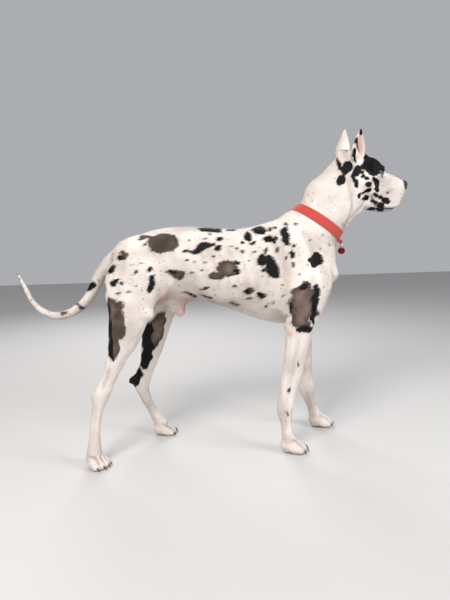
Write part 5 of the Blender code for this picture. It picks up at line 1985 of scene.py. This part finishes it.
TAG_LOOKS = {
    "tag_red": ("tag_red_enamel", enamel("dark_red_enamel", (0.190, 0.006, 0.012))),
    "tag_brass": ("tag_brass", metal("orange_brass", (0.760, 0.330, 0.090), 0.26, 0.4)),
}
for name, (slot, look) in TAG_LOOKS.items():
    tag_low, tag_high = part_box(name)
    middle = (Vector(tag_low) + Vector(tag_high)) / 2
    mesh = disc_of(Matrix.Translation(middle), TAG_RADIUS, TAG_THICKNESS, TAG_EYE)
    piece = show(name + "_disc", mesh, look)
    edge = piece.modifiers.new("rounded", "BEVEL")
    edge.width = 0.00035
    edge.segments = 3
    edge.limit_method = "ANGLE"
    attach(piece, "root")
    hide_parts(name)

tab_reach = neck_reach(pi, -0.011) + COLLAR_CLEARANCE + COLLAR_THICKNESS
tab = bmesh.new()
bmesh.ops.create_cube(tab, size=1)
for vert in tab.verts:
    vert.co = COLLAR @ (Vector((TAB_PLACE, 0, -tab_reach - TAB_DROP)) + vert.co * TAB)
tab_mesh = bpy.data.meshes.new("ring_tab")
tab.to_mesh(tab_mesh)
tab.free()
keep_band_places(tab_mesh)
tab_piece = show("ring_tab", tab_mesh, webbing)
edge = tab_piece.modifiers.new("rounded", "BEVEL")
edge.width = 0.0022
edge.segments = 4
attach(tab_piece, "root")
print("ring at", [round(c, 4) for c in ring_middle])

# %% [markdown]
# ## The coat
#
# A dane's hair is about a centimetre long and lies so flat that the material's streaks are enough seen
# from the front. At the outline, and where the hide folds, the hair breaks the form, so the skin also
# carries thin tufts of solid mesh. Each is a narrow leaf: its root is sunk in the skin, its tip lies just
# above it further along the lie of the coat. Loose hairs would look finer, but a plain mesh can't hold
# them.

# %% Where tufts grow
TUFT_PIECES = {
    # name: tufts, length, width, lift of the tip
    "coat_trunk_right": (46000, 0.0110, 0.00125, 0.0009),
    "coat_trunk_left": (46000, 0.0110, 0.00125, 0.0009),
    "coat_neck": (30000, 0.0100, 0.00120, 0.0009),
    "coat_head": (48000, 0.0048, 0.00070, 0.0004),
    "coat_legs": (56000, 0.0075, 0.00100, 0.0006),
    "coat_tail": (12000, 0.0095, 0.00110, 0.0009),
}
TUFT_SINK = 0.0003
TUFT_SEED = 7
TUFT_SWAY = 0.16
COLLAR_REACH = 0.16
SOLE = 0.004

points = points_of(skin)
normals = normals_of(skin)
corners = faces_of(skin)
flow = flow_at(points, normals)
face_middle = points[corners].mean(axis=1)
side_one = points[corners[:, 1]] - points[corners[:, 0]]
side_two = points[corners[:, 2]] - points[corners[:, 0]]
face_size = np.linalg.norm(np.cross(side_one, side_two), axis=1) / 2

TAIL_START = -0.41
TAIL_HALF = 0.045
LEG_TOP = 0.50
NECK_START = 0.76
ahead, aside, above = face_middle.T
head_faces = head_share(face_middle) > 0.5
tail_faces = (ahead < TAIL_START) & (above > LEG_TOP) & (np.abs(aside) < TAIL_HALF)
leg_faces = (above < LEG_TOP) & ~tail_faces & ~head_faces
neck_faces = (up_neck(face_middle) > NECK_START) & ~head_faces
trunk_faces = ~(head_faces | tail_faces | leg_faces | neck_faces)
GROUNDS = {
    "coat_trunk_right": trunk_faces & (aside < 0),
    "coat_trunk_left": trunk_faces & (aside >= 0),
    "coat_neck": neck_faces,
    "coat_head": head_faces,
    "coat_legs": leg_faces,
    "coat_tail": tail_faces,
}

# Nothing grows on the nose, the rims of the eyes, inside the ears, under the collar or on the soles.
collar_local = collar_places(face_middle)
under_collar = np.abs(collar_local[:, 0]) < COLLAR_WIDTH / 2
under_collar &= np.linalg.norm(collar_local[:, 1:], axis=1) < COLLAR_REACH
bald = np.maximum(nose, np.maximum(rim, 0.9 * cup))[corners].mean(axis=1) > 0.35
bald |= under_collar | (above < SOLE)
print("bald share of the faces:", round(float(bald.mean()), 3))

# %% [markdown]
# ### A flat map of the coat
#
# Each tuft also gets a small square on a flat map, at the place of its root. The map unrolls each part of
# the body about its own axis, as a hide is opened along one seam, so that neighbours on the dog are
# neighbours on the map.

# %% Unrolling the hide
PATCH = 0.003
ROLLS = {
    "coat_trunk_right": (((-0.45, 0, 0.70), (0.42, 0, 0.70), -pi, 0),),
    "coat_trunk_left": (((-0.45, 0, 0.70), (0.42, 0, 0.70), 0, pi),),
    "coat_neck": (((0.24, 0, 0.70), (0.55, 0.01, 1.02), -pi, pi),),
    "coat_head": (((0.42, 0, 1.04), (0.74, 0.03, 0.93), -pi, pi),),
    "coat_legs": tuple(((x, y, 0.0), (x, y, 0.52), -pi, pi) for x, y in (
        (0.27, -0.10), (0.33, 0.10), (-0.36, -0.10), (-0.22, 0.10))),
    "coat_tail": (((-0.42, 0, 0.72), (-0.70, 0, 0.62), -pi, pi),),
}


def unrolled(points, start, end, from_angle, to_angle):
    """Share round an axis and share along it."""
    start, end = np.array(start), np.array(end)
    axis = (end - start) / np.linalg.norm(end - start)
    sideways = np.cross(axis, (0, 1, 0) if abs(axis[1]) < 0.5 else (0, 0, 1))
    sideways /= np.linalg.norm(sideways)
    other = np.cross(axis, sideways)
    away = points - start
    angle = np.arctan2(away @ other, away @ sideways)
    if to_angle - from_angle < 6:
        far = np.maximum(np.linalg.norm(away[:, 1:], axis=1), 1e-6)
        angle = np.where(points[:, 1] < 0, -1, 1) * np.arccos(np.clip(away[:, 2] / far, -1, 1))
    round_it = (angle - from_angle) / (to_angle - from_angle)
    along = (away @ axis) / np.linalg.norm(end - start)
    return round_it, along


def coat_map(name, roots):
    """A place on the square map for each root."""
    rolls = ROLLS[name]
    middles = np.array([(np.array(a) + b)[:2] / 2 for a, b, _, _ in rolls])
    nearest = np.linalg.norm(roots[:, None, :2] - middles[None], axis=2).argmin(axis=1)
    places = np.zeros((len(roots), 2))
    for number, roll in enumerate(rolls):
        mine = nearest == number
        if not mine.any():
            continue
        round_it, along = unrolled(roots[mine], *roll)
        low, high = along.min(), along.max()
        along = (along - low) / max(high - low, 1e-6)
        places[mine, 0] = (number + 0.02 + 0.96 * np.clip(round_it, 0, 1)) / len(rolls)
        places[mine, 1] = 0.01 + 0.98 * along
    return places


print("map patches of", PATCH)

# %% Grow the tufts
marks = {name: np.empty(len(points), np.float32) for name in MARKS}
for name, values in marks.items():
    skin.attributes[name].data.foreach_get("value", values)
dice = np.random.default_rng(TUFT_SEED)


def length_at(roots):
    """Hair is a little longer behind the thighs and under the belly, and short on the feet."""
    longer = 0.35 * ease(roots[:, 2], 0.62, 0.56) * ease(roots[:, 2], 0.46, 0.50)
    longer += 0.35 * ease(roots[:, 0], -0.36, -0.41) * ease(roots[:, 2], 0.30, 0.40)
    shorter = 0.45 * ease(roots[:, 2], 0.14, 0.06)
    return 1 + longer - shorter


def on_skin(places):
    """The nearest places on the skin and the way out of it there."""
    near = np.empty_like(places)
    out = np.empty_like(places)
    for i, place in enumerate(places):
        hit, way, _, _ = skin_tree.find_nearest(Vector(place))
        near[i] = hit
        out[i] = way
    return near, out


def grow(name):
    tufts, length, width, lift = TUFT_PIECES[name]
    ground = np.flatnonzero(GROUNDS[name] & ~bald)
    steps = np.cumsum(face_size[ground])
    picks = (np.arange(tufts) + dice.random(tufts)) / tufts * steps[-1]
    chosen = ground[np.searchsorted(steps, picks).clip(0, len(ground) - 1)]
    one, two = dice.random((2, tufts))
    over = one + two > 1
    one[over], two[over] = 1 - one[over], 1 - two[over]
    weights = np.stack([1 - one - two, one, two], 1)
    corner = corners[chosen]

    def shared(values):
        return np.einsum("ij,ij...->i...", weights, values[corner])

    roots = shared(points)
    out = shared(normals)
    out /= np.linalg.norm(out, axis=1)[:, None]
    way = shared(flow)
    across = np.cross(out, way)
    way = way + across * dice.normal(0, TUFT_SWAY, tufts)[:, None]
    way -= out * np.einsum("ij,ij->i", way, out)[:, None]
    way /= np.maximum(np.linalg.norm(way, axis=1), 1e-6)[:, None]
    across = np.cross(out, way)
    size = length_at(roots) * dice.uniform(0.75, 1.25, tufts)
    long = (length * size)[:, None]
    half = (width * dice.uniform(0.7, 1.2, tufts) / 2)[:, None]
    rise = (lift * dice.uniform(0.5, 1.3, tufts))[:, None]
    middle, middle_out = on_skin(roots + way * long * 0.5)
    tip, tip_out = on_skin(roots + way * long)
    leaf = np.stack([
        roots - out * TUFT_SINK - across * half * 0.7,
        roots - out * TUFT_SINK + across * half * 0.7,
        middle + middle_out * rise * 0.75 + across * half,
        middle + middle_out * rise * 0.75 - across * half,
        tip + tip_out * rise,
    ], 1).reshape(-1, 3)
    first = np.arange(tufts)[:, None] * 5
    triangles = np.concatenate([first + (0, 2, 1), first + (0, 3, 2), first + (3, 4, 2)], 1).reshape(-1, 3)
    mesh = bpy.data.meshes.new(name)
    mesh.vertices.add(len(leaf))
    mesh.vertices.foreach_set("co", leaf.astype(np.float32).ravel())
    mesh.loops.add(triangles.size)
    mesh.loops.foreach_set("vertex_index", triangles.astype(np.int32).ravel())
    mesh.polygons.add(len(triangles))
    mesh.polygons.foreach_set("loop_start", (np.arange(len(triangles)) * 3).astype(np.int32))
    mesh.polygons.foreach_set("use_smooth", np.ones(len(triangles), bool))
    mesh.update()
    keep_markings(mesh, *[np.repeat(shared(marks[mark]), 5) for mark in MARKS])

    flat = mesh.uv_layers.new(name="OFBake")
    spots = coat_map(name, roots)
    square = np.array([(0, 0), (1, 0), (1, 0.5), (0, 0.5), (0.5, 1)]) - 0.5
    leaf_map = (spots[:, None, :] + square[None] * PATCH).reshape(-1, 2)
    flat.data.foreach_set("uv", leaf_map[triangles.ravel()].astype(np.float32).ravel())

    shade = np.stack([out, out, middle_out, middle_out, tip_out], 1).reshape(-1, 3)
    shade /= np.maximum(np.linalg.norm(shade, axis=1), 1e-6)[:, None]
    mesh.normals_split_custom_set_from_vertices(shade.astype(np.float32))
    piece = show(name, mesh, coat)
    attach(piece, "root")
    return tufts


grown = {name: grow(name) for name in TUFT_PIECES}
print("tufts:", grown)

# %% [markdown]
# ## Whiskers
#
# A few stiff black hairs stand on the lips, over the eyes and on the cheeks. They are thicker than the coat
# and grow singly, so each is a thin bent cone.

# %% Whiskers
WHISKER_RADIUS = 0.00026
WHISKER_SIDES = 5
WHISKER_SHARES = (0, 0.3, 0.6, 0.85, 1.0)
WHISKER_BACK = (-0.75, 0, -0.30)
WHISKER_DROOP = np.array((0, 0, -0.12))
WHISKER_ROOTS = {
    # place on the head's side, forward and up, then length
    "lip": [(0.116 - 0.012 * column, -0.058 - 0.012 * row, 0.026 + 0.004 * row)
            for column in range(4) for row in range(3)],
    "brow": [(0.012, 0.014, 0.022), (0.004, 0.017, 0.024), (0.018, 0.012, 0.018)],
    "cheek": [(-0.010, -0.070, 0.024), (-0.006, -0.078, 0.020)],
}


def whisker(x, z, length, side):
    root = np.array(on_head(x, z, side))
    near, out = on_skin(root[None])
    back = np.array(HEAD.to_3x3()) @ WHISKER_BACK
    way = out[0] * 0.8 + back
    way /= np.linalg.norm(way)
    side_way = np.cross(way, (0, 0, 1))
    side_way /= np.linalg.norm(side_way)
    up_way = np.cross(side_way, way)
    angle = np.arange(WHISKER_SIDES) * tau / WHISKER_SIDES
    rings = []
    for share in WHISKER_SHARES:
        middle = near[0] - out[0] * 0.001 + (way * share + WHISKER_DROOP * share**2) * length
        radius = WHISKER_RADIUS * (1 - 0.85 * share)
        rings.append(middle + radius * (np.outer(np.cos(angle), side_way) + np.outer(np.sin(angle), up_way)))
    return loft(rings)


whisker_forms = [
    whisker(*row, side) for rows in WHISKER_ROOTS.values() for row in rows for side in (-1, 1)
]
whisker_mesh = mesh_of("whiskers", *gathered(whisker_forms))
whiskers = show("whiskers", whisker_mesh, plain_material("whisker_black", (0.02, 0.018, 0.018), 0.5))
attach(whiskers, "root")
print("whiskers:", len(whisker_forms))
